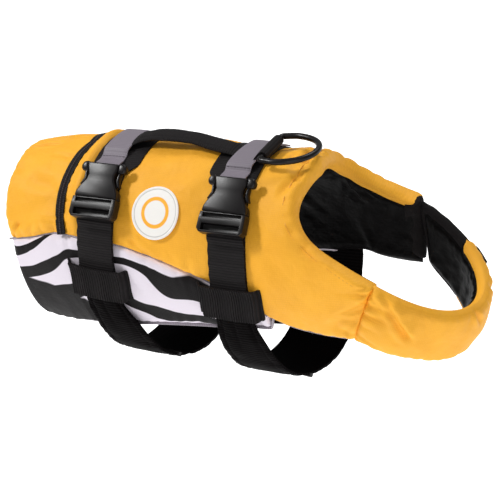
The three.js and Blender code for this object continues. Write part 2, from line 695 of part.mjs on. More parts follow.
// Each belt: black webbing round the back, reflective webbing over it, the buckle and the strap's free end,
// the padded band under the belly and the keeper.
for (const belt of BELTS) {
  const centre = (angle) => strapCentre(belt, angle);
  const crest = (angle) => 1 - smooth(Math.abs(angle), 20, 30);
  const baseCentre = (angle) => centre(angle) + belt.anchorShift * crest(angle);
  const baseWidth = (angle) => WEBBING_WIDTH + ANCHOR_EXTRA * crest(angle);
  const first = belt.rise + SEAM;
  const second = first + WEBBING + SEAM;
  const layer = (from, to, steps, place, width, low) => (
    strapOnShell(from, to, steps, place, width, low, low + WEBBING)
  );
  add(`${belt.name}_strap_base`, layer(-95, 102, 40, baseCentre, baseWidth, first), cloth(BLACK));
  add(`${belt.name}_strap_top`, layer(-24, 30, 14, centre, () => TOP_WIDTH, second), cloth(GREY));
  add(`${belt.name}_strap_tail`, layer(-95.5, -59, 10, centre, () => WEBBING_WIDTH, second), cloth(BLACK));
  add(`${belt.name}_belly_band`, bellyBand(belt), cloth(BLACK));
  add(`${belt.name}_keeper`, keeper(belt), cloth(BLACK));
  const { socket, plug } = buckleHalves();
  const pose = bucklePose(belt);
  add(`${belt.name}_buckle_socket`, outward(closed(socket)), plastic(BLACK)).applyMatrix4(pose);
  add(`${belt.name}_buckle_plug`, outward(closed(plug)), plastic(BLACK)).applyMatrix4(pose);
}

add('handle', handle(), cloth(BLACK));
add('ring_tab', ringTab(), cloth(BLACK));
const ring = add('leash_ring', closedWire(ringPath(), RING.wire, 8), plastic(BLACK));
ring.position.set(RING.bar, 0, RING_Z);
ring.rotation.y = -radians(RING.tilt);

export default jacket;
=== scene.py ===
"""Looks of a dog life jacket in its worn shape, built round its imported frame.

Distances in the tables and functions are in millimetres; the finished meshes are in metres.
"""

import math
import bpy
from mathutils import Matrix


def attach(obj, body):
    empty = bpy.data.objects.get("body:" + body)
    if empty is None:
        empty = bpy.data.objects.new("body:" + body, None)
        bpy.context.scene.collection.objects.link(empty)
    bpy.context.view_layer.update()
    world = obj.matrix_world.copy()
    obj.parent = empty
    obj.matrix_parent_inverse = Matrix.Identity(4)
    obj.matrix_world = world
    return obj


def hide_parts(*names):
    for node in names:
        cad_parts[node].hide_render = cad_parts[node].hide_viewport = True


bl_info = {
    "name": "Dog life jacket",
    "version": (1, 0, 0),
    "blender": (4, 5, 0),
    "location": "View3D > Sidebar > Life jacket",
    "description": "Builds a dog life jacket with foam panels, belts, buckles and a leash ring",
    "category": "Object",
}

import bpy
import numpy as np
from bpy.props import FloatProperty, FloatVectorProperty, IntProperty, PointerProperty
from mathutils import Matrix, Vector

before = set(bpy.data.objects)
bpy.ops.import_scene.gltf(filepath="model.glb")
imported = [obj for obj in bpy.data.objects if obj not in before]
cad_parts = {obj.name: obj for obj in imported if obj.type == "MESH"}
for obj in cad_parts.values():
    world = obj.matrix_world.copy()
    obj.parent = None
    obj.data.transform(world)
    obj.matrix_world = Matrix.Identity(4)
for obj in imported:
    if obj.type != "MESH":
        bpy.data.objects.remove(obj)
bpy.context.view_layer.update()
BODY = "jacket"

# The body's cross-sections along the back: height of its top, of its widest place and of its bottom, half width.
SECTIONS = {
    "x": (-215, -140, -84, 0, 50, 100, 150, 200, 245),
    "top": (1.5, 13.5, 17.5, 18.5, 18.5, 18.5, 18.5, 16.5, 12.5),
    "middle": (-67.5, -69.5, -73.5, -75.5, -77.5, -75.5, -73.5, -71.5, -71.5),
    "bottom": (-181.5, -189.5, -193.5, -197.5, -198.5, -199.5, -198.5, -197.5, -192.5),
    "half": (70, 80, 85, 85, 85, 86, 84, 83, 80),
}
# Cut edges across the body: distance along the back at an angle down from the crest.
HEM = {"angle": (0, 40, 62, 85, 105, 128, 140), "x": (-209, -206, -204, -197, -196, -195, -190)}
POCKET_SEAM = {"angle": (0, 15, 47, 60, 73), "x": (-126, -130, -133, -132, -129)}
NECK_RIM = {"angle": (0, 20, 32, 40, 48, 56, 63, 72), "x": (119, 115, 113, 114, 119, 128, 141, 164)}
# Cut edges along the body: angle down from the crest at a distance along the back.
COLOUR_LINE = {
    "x": (-200, -174, -134, -108, -72, -20, 21, 79, 100, 117, 143, 167),
    "angle": (86, 81, 73.2, 73, 73.6, 79.8, 87.2, 102.2, 108.6, 111.5, 114, 115),
}
BELLY_EDGE = {
    "x": (-199, -188, -175, -128, -43, 25, 79, 117, 143, 167),
    "angle": (139, 143, 144, 136, 122, 115.4, 111.4, 111.5, 114, 115),
}
NEAR_SEAM = {"top": (195, 83), "bottom": (167, 115)}
FAR_SEAM = {"top": (181, 77), "bottom": (180, 109)}
SEAM_END = 73
RIM_SHARE = 0.68
CHEST_TOP = (271, -109.5)
CHEST_BOTTOM = (249, -162.5)
CLOSURE_FROM = 0.6
HEM_SIDE, HEM_END = 85.5, 139  # angles of the hem where the stripes begin and end
STRIPES_END = 84
# Each belt: height over the cloth, then distances along the back of its strap and of its belly band, the angle of the
# band's foot, and how the reflective strip lies: the angle up to which it clears the handle, and its lean.
BELTS = {
    "rear": {
        "rise": 1.2, "anchor": 5, "strap_top": -88, "strap_side": -89, "near": -82, "mid": -64, "far": -60,
        "foot": -152.0, "over": 12, "lean": 2,
    },
    "front": {
        "rise": 0, "anchor": -4, "strap_top": 46, "strap_side": 52, "near": 54, "mid": 69, "far": 78,
        "foot": -160.0, "over": 15, "lean": 5,
    },
}
BAND_TURN = (-97, -256)  # angles of a belly band's ends
KEEPER_LONG = 67
BUCKLE_ANGLE = -43.0
PATCH_AT = (-25.5, -51)
HANDLE = {
    "x": (-104, -82, -72, -62, -53, -46, -14, -6, 6, 18, 28, 38, 58),
    "z": (21.4, 23.2, 25.6, 28.6, 30.9, 31.4, 31.4, 30.3, 27, 24.9, 23.7, 22.4, 21.6),
}
RING_BAR = (68.0, 0.0, 28.1)
CREST_ROUND = (94, 85)  # height and half width of the back's round
STITCH = (2.4, 0.6, 0.5)
MM_PER_DEGREE = 1.5  # length of one degree round the body's side
LINING_MM = 1.2  # the same inside the foam
SEAM = 0.3
LINE_GAP, LINING_GAP = 0.2, 0.4  # in degrees
LINING_IN = 1.2
ROUND = 7.7  # how far each face of a free rim rounds in
TAPED_EDGE = (4.5, 2.0, 7.0)
FAN = np.array([118, 58])  # where the lining's folds spread from
FAR_OFF = 999
STRIPE_PITCH, BORDER_HEIGHT = 0.031, 0.092  # in metres
# The camera's angles in degrees, its distance and aim in metres.
CAMERA = {
    "azimuth": 31, "elevation": 26, "roll": 9, "distance": 1.9, "aim_right": 0.0377, "aim_down": 0.0778,
    "lens_pixels": 1995, "picture_pixels": 500,
}
# Lamps in metres and watts: place, size and energy.
LAMPS = {
    "key": ((-1.4, -0.55, 1.65), 0.45, 31), "fill": ((0.9, -1.7, 0.8), 1.3, 8), "back": ((0.3, 1.1, 1.8), 0.9, 17),
}
LIT_AT = (0, 0, -0.08)
FLOOR_Z = -0.5


def linear(colour):
    """An sRGB hex colour as linear RGB."""
    channels = [int(colour[k : k + 2], 16) / 255 for k in (1, 3, 5)]
    return [c / 12.92 if c <= 0.04045 else ((c + 0.055) / 1.055) ** 2.4 for c in channels]


def length_property(name, text, metres):
    return FloatProperty(name=name, description=text, default=metres, unit="LENGTH")


class JacketSizes(bpy.types.PropertyGroup):
    foam: length_property("Foam", "Thickness of the foam panels", 0.016)
    chest_foam: length_property("Chest foam", "Thickness of the chest band", 0.014)
    lining: length_property("Lining", "Thickness of the lining as it shows", 0.001)
    webbing: length_property("Webbing", "Thickness of the webbing", 0.0018)
    strap_width: length_property("Strap width", "Width of the belt webbing", 0.038)
    crest_width: length_property("Crest width", "Width of the reflective webbing", 0.026)
    band: length_property("Belly band", "Thickness of the belly bands", 0.003)
    patch: length_property("Patch radius", "Radius of the round patch", 0.0245)
    ring_wire: length_property("Ring wire", "Radius of the leash ring's wire", 0.003)
    ribs: IntProperty(name="Keeper ribs", description="Ribs across an elastic keeper", default=26, min=6, max=60)


def colour_property(name, text, colour):
    return FloatVectorProperty(
        name=name, description=text, subtype="COLOR", size=3, min=0, max=1, default=linear(colour)
    )


class JacketColours(bpy.types.PropertyGroup):
    shell: colour_property("Shell", "Golden yellow shell cloth", "#FFB430")
    print_light: colour_property("Print, light", "Light ground of the printed cloth", "#E4DCE6")
    print_dark: colour_property("Print, dark", "Dark stripes of the printed cloth", "#110E0F")
    black: colour_property("Black", "Lining, webbing and hook-and-loop", "#151112")
    reflective: colour_property("Reflective", "Grey reflective webbing", "#8E8690")
    piping: colour_property("Piping", "Grey piping and binding", "#A79FA8")
    patch: colour_property("Patch", "Ground of the round patch", "#F4F1EC")
    floor: colour_property("Floor", "Floor and backdrop", "#FAFAFA")


# ---------------------------------------------------------------- shape of the body
def curve(at, xs, ys):
    """A smooth curve through rising xs and their ys, without overshoot, at many places."""
    xs, ys = np.asarray(xs, float), np.asarray(ys, float)
    at = np.clip(np.asarray(at, float), xs[0], xs[-1])
    step = np.diff(xs)
    slope = np.diff(ys) / step
    before, after = slope[:-1], slope[1:]
    same = before * after > 0
    tangent = np.concatenate([slope[:1], np.zeros(len(same)), slope[-1:]])
    tangent[1:-1][same] = 2 * before[same] * after[same] / (before[same] + after[same])
    i = np.clip(np.searchsorted(xs, at, side="right") - 1, 0, len(step) - 1)
    t = (at - xs[i]) / step[i]
    return (
        ys[i] * (1 + 2 * t) * (1 - t) ** 2
        + ys[i + 1] * t * t * (3 - 2 * t)
        + step[i] * t * (1 - t) * (tangent[i] * (1 - t) - tangent[i + 1] * t)
    )


def smooth(value, low, high):
    t = np.clip((np.asarray(value, float) - low) / (high - low), 0, 1)
    return t * t * (3 - 2 * t)


def mix(a, b, share):
    return a + (b - a) * share


def body(x, angle):
    """The smooth outside of the jacket at a distance along the back and an angle, negative on the near side."""
    x, angle = np.broadcast_arrays(np.asarray(x, float), np.asarray(angle, float))
    turn = np.radians(angle)
    middle = curve(x, SECTIONS["x"], SECTIONS["middle"])
    above = curve(x, SECTIONS["x"], SECTIONS["top"]) - middle
    below = middle - curve(x, SECTIONS["x"], SECTIONS["bottom"])
    reach = np.where(np.cos(turn) >= 0, above, below)
    side = curve(x, SECTIONS["x"], SECTIONS["half"]) * np.sin(turn)
    return np.stack([x, side, middle + reach * np.cos(turn)], -1)


def raised(surface, u, v, lift, du, dv):
    """Points of a surface, moved out along its normal."""
    along = surface(u + du, v) - surface(u - du, v)
    across = surface(u, v + dv) - surface(u, v - dv)
    normal = np.cross(along, across)
    normal /= np.linalg.norm(normal, axis=-1, keepdims=True)
    return surface(u, v) + normal * np.asarray(lift, float)[..., None]


def on_body(x, angle, lift):
    x, angle, lift = np.broadcast_arrays(*(np.asarray(k, float) for k in (x, angle, lift)))
    return raised(body, x, angle, lift, 1, 1)


def chest(turn, down):
    """The outside of the chest band: turn is -1 at the near seam and 1 at the far one, down is 0 to 1."""
    turn, down = np.broadcast_arrays(np.asarray(turn, float), np.asarray(down, float))
    a = turn * math.pi / 2
    forward = np.cos(a)

    def edge(key, front, power):
        ends = [NEAR_SEAM[key], FAR_SEAM[key]]
        near, far = (body(end[0], sign * end[1]) for end, sign in zip(ends, (-1, 1)))
        end_x = np.where(turn <= 0, ends[0][0], ends[1][0])
        end_y = np.where(turn <= 0, abs(near[1]), abs(far[1]))
        end_z = np.where(turn <= 0, near[2], far[2])
        rise = np.maximum(0, forward) ** power
        return np.stack([end_x + (front[0] - end_x) * forward, end_y * np.sin(a), mix(end_z, front[1], rise)], -1)

    top = edge("top", CHEST_TOP, 1.15)
    low = edge("bottom", CHEST_BOTTOM, np.where(turn <= 0, 1.1, 0.6))
    point = mix(top, low, down[..., None])
    outwards = np.stack([forward, np.sin(a), np.full_like(a, -0.25)], -1)
    outwards /= np.linalg.norm(outwards, axis=-1, keepdims=True)
    return point + outwards * (3.5 * np.sin(math.pi * np.clip(down, 0, 1)))[..., None]


def on_chest(turn, down, lift):
    turn, down, lift = np.broadcast_arrays(*(np.asarray(k, float) for k in (turn, down, lift)))
    return raised(chest, turn, down, lift, 0.01, -0.02)


# ---------------------------------------------------------------- folds and unevenness of the cloth
# Folds of the near side: from and to in distance and degrees, width and depth in mm. A negative depth is a ridge.
FOLDS = {
    "x0": (-203, -164, -184, -192, -170, 100, 92, 108, 157, 162, -12, 12, -30, -196, -158, 132, -48, 84),
    "a0": (-1, -38, -73, -82, -80, 9, -2, -14, -103, -107, -66, -44, -30, -24, -14, -62, -70, -60),
    "x1": (-168, -142, -138, -184, -166, 109, 106, 99, 184, 177, 30, 34, 6, -176, -140, 118, -36, 108),
    "a1": (-1, -46, -63, -72, -73, -12, -18, -30, -95, -101, -52, -22, -20, -36, -18, -52, -75, -74),
    "width": (3, 7, 8, 2.6, 2.6, 4, 4, 4, 5, 3.5, 11, 12, 9, 8, 4, 5, 3, 9),
    "depth": (2.3, 1.6, -1.6, 2.0, 1.7, 1.9, 1.6, 1.5, 2.2, 1.8, 1.0, 0.9, 0.9, 1.1, 1.2, 1.3, 1.5, 1.0),
}


def fold(px, py, start, end, width, depth):
    """One soft trough with a low ridge on each side, in flat millimetres."""
    line = np.subtract(end, start)
    length = math.hypot(*line)
    dx, dy = px - start[0], py - start[1]
    share = (dx * line[0] + dy * line[1]) / length**2
    off = (dx * line[1] - dy * line[0]) / length
    off = off + 0.25 * width * np.sin(3.1 * share + start[0])
    beyond = np.maximum(0, np.maximum(-share, share - 1)) * length
    fade = np.exp(-((beyond / (1.4 * width)) ** 2)) * (0.75 + 0.25 * np.sin(5 * share + start[1]))
    trough = np.exp(-((off / width) ** 2))
    banks = np.exp(-(((np.abs(off) - 1.9 * width) / width) ** 2))
    return -depth * fade * (trough - 0.4 * banks)


def unevenness(px, py, seed, height, longest, shortest):
    """Low, slow waves over a cloth, the same on each run."""
    random = np.random.RandomState(seed)
    total = np.zeros_like(px)
    for k in range(9):
        length = mix(longest, shortest, k / 8)
        heading = random.uniform(0, math.pi)
        phase = random.uniform(0, 2 * math.pi)
        bend = 0.6 * np.sin((px * math.sin(heading) - py * math.cos(heading)) * 2 * math.pi / (1.7 * length))
        wave = (px * math.cos(heading) + py * math.sin(heading)) * 2 * math.pi / length
        total += np.sin(wave + phase + bend) * (length / longest) ** 0.7
    return height * total / 3


def puckers(along, away, seed, height, spacing, reach):
    """Small gathers that run away from a seam, uneven in place, depth and length. away is the distance from it."""
    random = np.random.RandomState(seed)
    total = np.zeros_like(along)
    at = float(along.min())
    end = float(along.max())
    while at < end:
        width = random.uniform(0.22, 0.36) * spacing
        deep = height * random.uniform(0.35, 1.0)
        far = reach * random.uniform(0.5, 1.3)
        lean = random.uniform(-0.35, 0.35)
        total -= deep * np.exp(-(((along - at - lean * away) / width) ** 2)) * np.exp(-((away / far) ** 2))
        at += spacing * random.uniform(0.6, 1.5)
    return total


def strap_place(belt, angle):
    place = BELTS[belt]
    return mix(place["strap_top"], place["strap_side"], smooth(np.abs(angle), 20, 80))


def between_straps(x, angle):
    """How far a place is from the straps: 0 under them, 1 well away."""
    free = np.ones_like(x)
    for belt in BELTS:
        off = np.abs(x - strap_place(belt, angle)) - 19
        free *= 1 - np.exp(-((np.maximum(off, 0) / 15) ** 2))
    return free


def body_relief(x, angle):
    """Folds and swelling of the shell's cloth over its foam."""
    arc = angle * MM_PER_DEGREE
    total = unevenness(x, arc, 3, 0.7, 90, 22)
    rows = zip(*(FOLDS[key] for key in ("x0", "a0", "x1", "a1", "width", "depth")))
    for k, (x0, a0, x1, a1, width, depth) in enumerate(rows):
        for side, shift, share in ((1, 0, 1), (-1, 5 - 3 * (k % 4), 0.85 if min(a0, a1) < -6 else 0)):
            start = (x0 + shift * (side < 0), side * a0 * MM_PER_DEGREE)
            end = (x1 + shift * (side < 0), side * a1 * MM_PER_DEGREE)
            total += fold(x, arc, start, end, width, 1.5 * depth * share)
    swell = 3.2 * between_straps(x, angle) * (1 - smooth(np.abs(angle), 96, 112))
    total += np.where(x > -120, swell, 1.2)
    # the rolled fold beside the curved seam and the crease before it: distance, width and height
    for at, width, height in ((-115.5, 6.0, 4.6), (-106.5, 2.6, -5.0)):
        off = x - at + 1.5 * np.sin(arc / 31)
        total += height * np.exp(-((off / width) ** 2)) * (1 - smooth(np.abs(angle), 55, 76))
    return total


# ---------------------------------------------------------------- cut of the pieces
def across_at(angle, edge):
    """Distance along the back of an edge across the body, at an angle."""
    return curve(np.abs(angle), edge["angle"], edge["x"])


def along_at(x, edge):
    """Angle of an edge along the body, at a distance along the back."""
    return curve(x, edge["x"], edge["angle"])


def above(x, angle, edge):
    """How far a place is above an edge along the body, in mm."""
    return np.maximum(along_at(x, edge) - np.abs(angle), 0) * MM_PER_DEGREE


def patch(s, t, crest, lower, back, front):
    """A half panel between four edges, each a function that gives distance and angle."""
    c, l, b, f = crest(s), lower(s), back(t), front(t)
    zero, one = np.zeros(1), np.ones(1)
    b0, b1, f0, f1 = back(zero), back(one), front(zero), front(one)
    return tuple(
        (1 - t) * c[k] + t * l[k] + (1 - s) * b[k] + s * f[k]
        - (1 - s) * (1 - t) * b0[k] - (1 - s) * t * b1[k] - s * (1 - t) * f0[k] - s * t * f1[k]
        for k in (0, 1)
    )


def both_halves(across, half):
    """Puts together what half gives for the near and for the far chest seam."""
    near, far = half(NEAR_SEAM), half(FAR_SEAM)
    return np.where(across <= 0, near[0], far[0]), np.where(across <= 0, -near[1], far[1])


def neck_edge(seam, t):
    keep = [k for k, a in enumerate(NECK_RIM["angle"]) if a < seam["top"][1] - 4]
    angles = [NECK_RIM["angle"][k] for k in keep] + [seam["top"][1]]
    places = [NECK_RIM["x"][k] for k in keep] + [seam["top"][0]]
    angle = np.minimum(t / RIM_SHARE, 1) * seam["top"][1]
    share = np.clip((t - RIM_SHARE) / (1 - RIM_SHARE), 0, 1)
    x = np.where(t <= RIM_SHARE, curve(angle, angles, places), mix(seam["top"][0], seam["bottom"][0], share))
    return x, np.where(t <= RIM_SHARE, angle, mix(seam["top"][1], seam["bottom"][1], share))


def main_cut(s, across, front_trim=SEAM):
    """Distance and angle of a place on the main panel, s to the front, across from the near to the far edge."""

    def half(seam):
        back_x = lambda angle: across_at(angle, POCKET_SEAM) + SEAM
        line = lambda x: along_at(x, COLOUR_LINE) - LINE_GAP
        first, last = float(back_x(SEAM_END)), seam["bottom"][0] - front_trim
        top, end = float(line(first)), seam["bottom"][1] - LINE_GAP - float(line(last))
        crest = lambda share: (mix(float(back_x(0)), NECK_RIM["x"][0] - front_trim, share), 0 * share)
        lower = lambda share: (mix(first, last, share), line(mix(first, last, share)) + end * share)
        back = lambda share: (back_x(share * top), share * top)

        def front(share):
            x, angle = neck_edge(seam, share)
            return x - front_trim, np.minimum(angle, seam["bottom"][1]) - LINE_GAP * share

        return patch(s, np.abs(across), crest, lower, back, front)

    return both_halves(across, half)


def rear_cut(s, across):
    share = np.abs(across)
    x = mix(across_at(share * HEM_SIDE, HEM), across_at(share * SEAM_END, POCKET_SEAM) - SEAM, s)
    return x, across * (along_at(x, COLOUR_LINE) - LINE_GAP)


def lower_cut(s, t, side):
    x = mix(across_at(mix(HEM_SIDE + 1, HEM_END, t), HEM), STRIPES_END, s)
    return x, side * mix(along_at(x, COLOUR_LINE) + LINE_GAP, along_at(x, BELLY_EDGE), t)


def lining_cut(s, across):
    """The body lining, drawn in a little from the rims and from the lower edges."""

    def half(seam):
        hem_x = lambda angle: across_at(angle, HEM) + LINING_IN
        first, last = float(hem_x(HEM_END - 2)), seam["bottom"][0] - SEAM
        crest = lambda share: (mix(float(hem_x(0)), NECK_RIM["x"][0] - LINING_IN - SEAM, share), 0 * share)
        lower = lambda share: (mix(first, last, share), along_at(mix(first, last, share), BELLY_EDGE) - LINING_GAP)
        back = lambda share: (hem_x(share * (HEM_END - 2)), share * (HEM_END - 2))

        def front(share):
            x, angle = neck_edge(seam, share)
            trim = SEAM + LINING_IN * (1 - smooth(share, RIM_SHARE - 0.1, RIM_SHARE))
            return x - trim, angle - LINING_GAP * share

        return patch(s, np.abs(across), crest, lower, back, front)

    return both_halves(across, half)


# ---------------------------------------------------------------- making of the meshes
def settle(piece, name, material, node_name, replaces=True):
    """Names a finished piece, gives it its material and lets it ride on its body."""
    piece.name = name
    piece.data.name = name
    piece.data.materials.clear()
    piece.data.materials.append(material)
    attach(piece, "leash_ring_body" if name.startswith("leash_ring") else BODY)
    if replaces:
        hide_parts(node_name)
    return piece


def add(primitive, **settings):
    """Adds a primitive with nothing else selected."""
    bpy.ops.object.select_all(action="DESELECT")
    primitive(**settings)
    return bpy.context.object


def face_outwards():
    """Turns the faces of the active piece outwards."""
    bpy.ops.object.mode_set(mode="EDIT")
    bpy.ops.mesh.select_all(action="SELECT")
    bpy.ops.mesh.normals_make_consistent(inside=False)
    bpy.ops.object.mode_set(mode="OBJECT")


def apply(piece, kind, **settings):
    """Adds a modifier with its settings and applies it."""
    bpy.context.view_layer.objects.active = piece
    made = piece.modifiers.new(kind, kind)
    for name, value in settings.items():
        setattr(made, name, value)
    bpy.ops.object.modifier_apply(modifier=made.name)


def unit(vectors):
    return vectors / np.linalg.norm(vectors, axis=1, keepdims=True)


def layered(rows, columns, place, ease=0.0, angle=None):
    """A closed piece from a grid: place(u, v, inner) gives its outer or inner points and its flat places, in mm."""
    piece = add(bpy.ops.mesh.primitive_grid_add, x_subdivisions=rows, y_subdivisions=columns, size=2, calc_uvs=True)
    apply(piece, "SOLIDIFY", thickness=1, offset=-1)
    mesh = piece.data
    co = np.zeros(len(mesh.vertices) * 3)
    mesh.vertices.foreach_get("co", co)
    co = co.reshape(-1, 3)
    u, v = (co[:, 0] + 1) / 2, (co[:, 1] + 1) / 2
    u, v = (k - ease * np.sin(2 * math.pi * k) / (2 * math.pi) for k in (u, v))
    inner = co[:, 2] < -0.5
    outer_points, flat = place(u, v, False)
    inner_points, _ = place(u, v, True)
    points = np.where(inner[:, None], inner_points, outer_points) / 1000
    mesh.vertices.foreach_set("co", points.ravel())
    corners = np.zeros(len(mesh.loops), int)
    mesh.loops.foreach_get("vertex_index", corners)
    mesh.uv_layers[0].data.foreach_set("uv", (np.stack(flat, -1)[corners] / 1000).ravel())
    mesh.update()
    face_outwards()
    if angle:
        bpy.ops.object.shade_smooth_by_angle(angle=math.radians(angle))
    else:
        bpy.ops.object.shade_smooth()
    return piece


def edge_shape(u, v, long, wide, rear, front, upper, lower):
    """How far the outer and inner faces of a panel come in near its edges, and how much of the way.

    long and wide are its sizes in mm. Each edge has its outer and inner round and its radius."""
    away = (u * long, (1 - u) * long, v * wide, (1 - v) * wide)
    sides = [(off, *edge) for off, edge in zip(away, (rear, front, upper, lower)) if edge]
    weight = [np.clip(1 - off / radius, 0, 1) ** 2 for off, _, _, radius in sides]
    total = sum(weight) + 1e-9
    shape = 1 - np.sqrt(1 - np.minimum(1, sum(w**3 for w in weight) ** (1 / 3)))
    outer, inner = (shape * sum(w * side[k] for w, side in zip(weight, sides)) / total for k in (1, 2))
    return outer, inner, shape


def panel(rows, columns, ease, cut, surface, sides, lift, flat):
    """A panel on a surface. cut gives its places there, sides its edges as edge_shape takes them, lift the height
    of its outer or inner face and flat its flat places in mm."""

    def place(u, v, inner):
        a, b = cut(u, v)
        outer, under, shape = edge_shape(*sides(u, v, a, b))
        return surface(a, b, lift(inner, a, b, outer, under, 1 - shape)), flat(a, b)

    return layered(rows, columns, place, ease)


def ribbon(spine, normal, half_width, top, bottom, columns, angle=40, share=1.0):
    """A closed strip along a line of points: top(w) and bottom(w) give its height over the line at w from -1 to 1.

    share makes it thinner or thicker along the line."""
    share, widths = (np.broadcast_to(np.asarray(k, float), len(spine)) for k in (share, half_width))
    rows = len(spine) - 1
    side = unit(np.cross(unit(np.gradient(spine, axis=0)), normal))
    length = np.concatenate([[0], np.cumsum(np.linalg.norm(np.diff(spine, axis=0), axis=1))])

    def place(u, v, inner):
        i = np.clip(np.rint(u * rows).astype(int), 0, rows)
        w = 2 * v - 1
        height = (bottom if inner else top)(w) * share[i]
        points = spine[i] + side[i] * (w * widths[i])[:, None] + normal[i] * height[:, None]
        return points, (length[i], w * widths[i])

    return layered(rows, columns, place, angle=angle)


def follow_crest(piece, share):
    """Lets a flat piece sag with the round of the back, by that share of the way at each distance along it."""
    height, half = CREST_ROUND
    for vertex in piece.data.vertices:
        x, y, z = vertex.co * 1000
        vertex.co.z = (z - height * (1 - math.sqrt(max(0, 1 - (y / half) ** 2))) * float(share(x))) / 1000
    piece.data.update()


def on_line(x, angle, lift):
    """Points and normals of the body along a line."""
    low = on_body(x, angle, lift)
    return low, on_body(x, angle, lift + 1) - low


def stitches(name, spots, along, out, material, node_name):
    """A row of threads, one small box each, at those places, lengthwise along the seam, in mm."""
    boxes = []
    for spot, ahead, up in zip(spots, along, out):
        ahead, up = Vector(ahead).normalized(), Vector(up).normalized()
        box = add(bpy.ops.mesh.primitive_cube_add, size=1)
        turn = Matrix((ahead, up.cross(ahead), up)).transposed().to_4x4()
        box.data.transform(Matrix.Translation(Vector(spot)) @ turn @ Matrix.Diagonal((*STITCH, 1)))
        boxes.append(box)
    return settle(joined(boxes, Matrix.Scale(0.001, 4)), name, material, node_name, replaces=False)


def block(outline, low, high, bevel, cutters=()):
    """A moulded block with that outline, its slots cut, and its edges rounded. Sizes in mm, kept in mm."""
    piece = add(bpy.ops.mesh.primitive_circle_add, vertices=len(outline), radius=1, fill_type="NGON")
    for vertex, (x, y) in zip(piece.data.vertices, outline):
        vertex.co = (x, y, low)
    bpy.ops.object.mode_set(mode="EDIT")
    bpy.ops.mesh.select_all(action="SELECT")
    bpy.ops.mesh.extrude_region_move(TRANSFORM_OT_translate={"value": (0, 0, high - low)})
    bpy.ops.object.mode_set(mode="OBJECT")
    face_outwards()
    for start, end in cutters:
        start, end = Vector(start), Vector(end)
        tool = add(bpy.ops.mesh.primitive_cube_add, size=1, location=(start + end) / 2, scale=end - start)
        apply(piece, "BOOLEAN", operation="DIFFERENCE", solver="EXACT", object=tool)
        bpy.data.objects.remove(tool)
    bpy.ops.object.select_all(action="DESELECT")
    piece.select_set(True)
    apply(piece, "BEVEL", width=bevel, segments=3, limit_method="ANGLE", angle_limit=math.radians(30))
    bpy.ops.object.shade_smooth_by_angle(angle=math.radians(35))
    return piece


def joined(pieces, matrix):
    """Joins blocks into one piece and moves its mesh to its place, in metres."""
    bpy.ops.object.select_all(action="DESELECT")
    for piece in pieces:
        piece.select_set(True)
    bpy.context.view_layer.objects.active = pieces[0]
    bpy.ops.object.join()
    piece = bpy.context.object
    piece.data.transform(matrix)
    piece.data.update()
    return piece


# ---------------------------------------------------------------- materials
def node(tree, kind, inputs=None, stops=(), **settings):
    """Adds a node with its settings; an input takes a value or a node's output, and stops are a ramp's colours."""
    made = tree.nodes.new(kind)
    for name, value in settings.items():
        setattr(made, name, value)
    for name, value in (inputs or {}).items():
        if isinstance(value, bpy.types.NodeSocket):
            tree.links.new(value, made.inputs[name])
        else:
            made.inputs[name].default_value = value
    for number, (place, colour) in enumerate(stops):
        elements = made.color_ramp.elements
        element = elements[number] if number < 2 else elements.new(place)
        element.position, element.color = place, colour
    return made


def rgba(colour, share=1.0):
    return [min(1, c * share) for c in colour] + [1]


def pattern(tree, kind, size, detail=3.0, roughness=0.5, vector=None):
    """Height of clouds of that scale, or of a weave or ribs of that pitch in mm on the cloth's own flat places."""
    if kind == "clouds":
        vector = vector or node(tree, "ShaderNodeTexCoord").outputs["Object"]
        inputs = {"Vector": vector, "Scale": size, "Detail": detail, "Roughness": roughness}
        return node(tree, "ShaderNodeTexNoise", inputs).outputs["Fac"]
    turns = 1000 / size * 2 * math.pi / 20  # the wave texture turns 20 radians a unit
    inputs = {"Vector": node(tree, "ShaderNodeUVMap").outputs["UV"], "Scale": turns}
    if kind == "ribs":
        inputs.update({"Distortion": 0.4, "Detail": 1.0})
        return node(tree, "ShaderNodeTexWave", inputs, bands_direction="X").outputs["Fac"]
    warp, weft = (node(tree, "ShaderNodeTexWave", inputs, bands_direction=way).outputs["Fac"] for way in "XY")
    return node(tree, "ShaderNodeMath", {0: warp, 1: weft}, operation="MULTIPLY").outputs[0]


def stripes(tree, colours):
    """Uneven dark stripes on a light ground that run down to the front, with a dark lower border."""

    def calc(operation, *values):
        return node(tree, "ShaderNodeMath", dict(enumerate(values)), operation=operation).outputs[0]

    uv = node(tree, "ShaderNodeUVMap").outputs["UV"]
    split = node(tree, "ShaderNodeSeparateXYZ", {"Vector": uv})
    along, height = split.outputs["X"], split.outputs["Y"]
    stretched = node(tree, "ShaderNodeMapping", {"Vector": uv, "Scale": (1, 1.6, 1)}).outputs["Vector"]
    swing = calc("SUBTRACT", pattern(tree, "clouds", 9, 1.5, 0.4, stretched), 0.5)
    lines = calc("MULTIPLY_ADD", swing, 0.085, calc("MULTIPLY_ADD", along, 0.17, height))
    band = calc("SINE", calc("MULTIPLY", lines, 2 * math.pi / STRIPE_PITCH))
    limit = calc("MULTIPLY_ADD", pattern(tree, "clouds", 17, 1, 0.4, uv), 2.6, -1.0)
    rear = calc("MULTIPLY_ADD", along, -0.34, -0.012)
    border = calc("SUBTRACT", calc("ADD", rear, calc("MULTIPLY_ADD", swing, 0.05, height)), BORDER_HEIGHT)
    dark = calc("MAXIMUM", calc("SUBTRACT", band, limit), calc("MULTIPLY", border, 60))
    dark = node(tree, "ShaderNodeMapRange", {0: dark, 1: -0.05, 2: 0.05, 3: 0, 4: 1}).outputs[0]
    ends = {0: dark, 6: rgba(colours.print_light), 7: rgba(colours.print_dark)}
    return node(tree, "ShaderNodeMix", ends, data_type="RGBA").outputs[2]


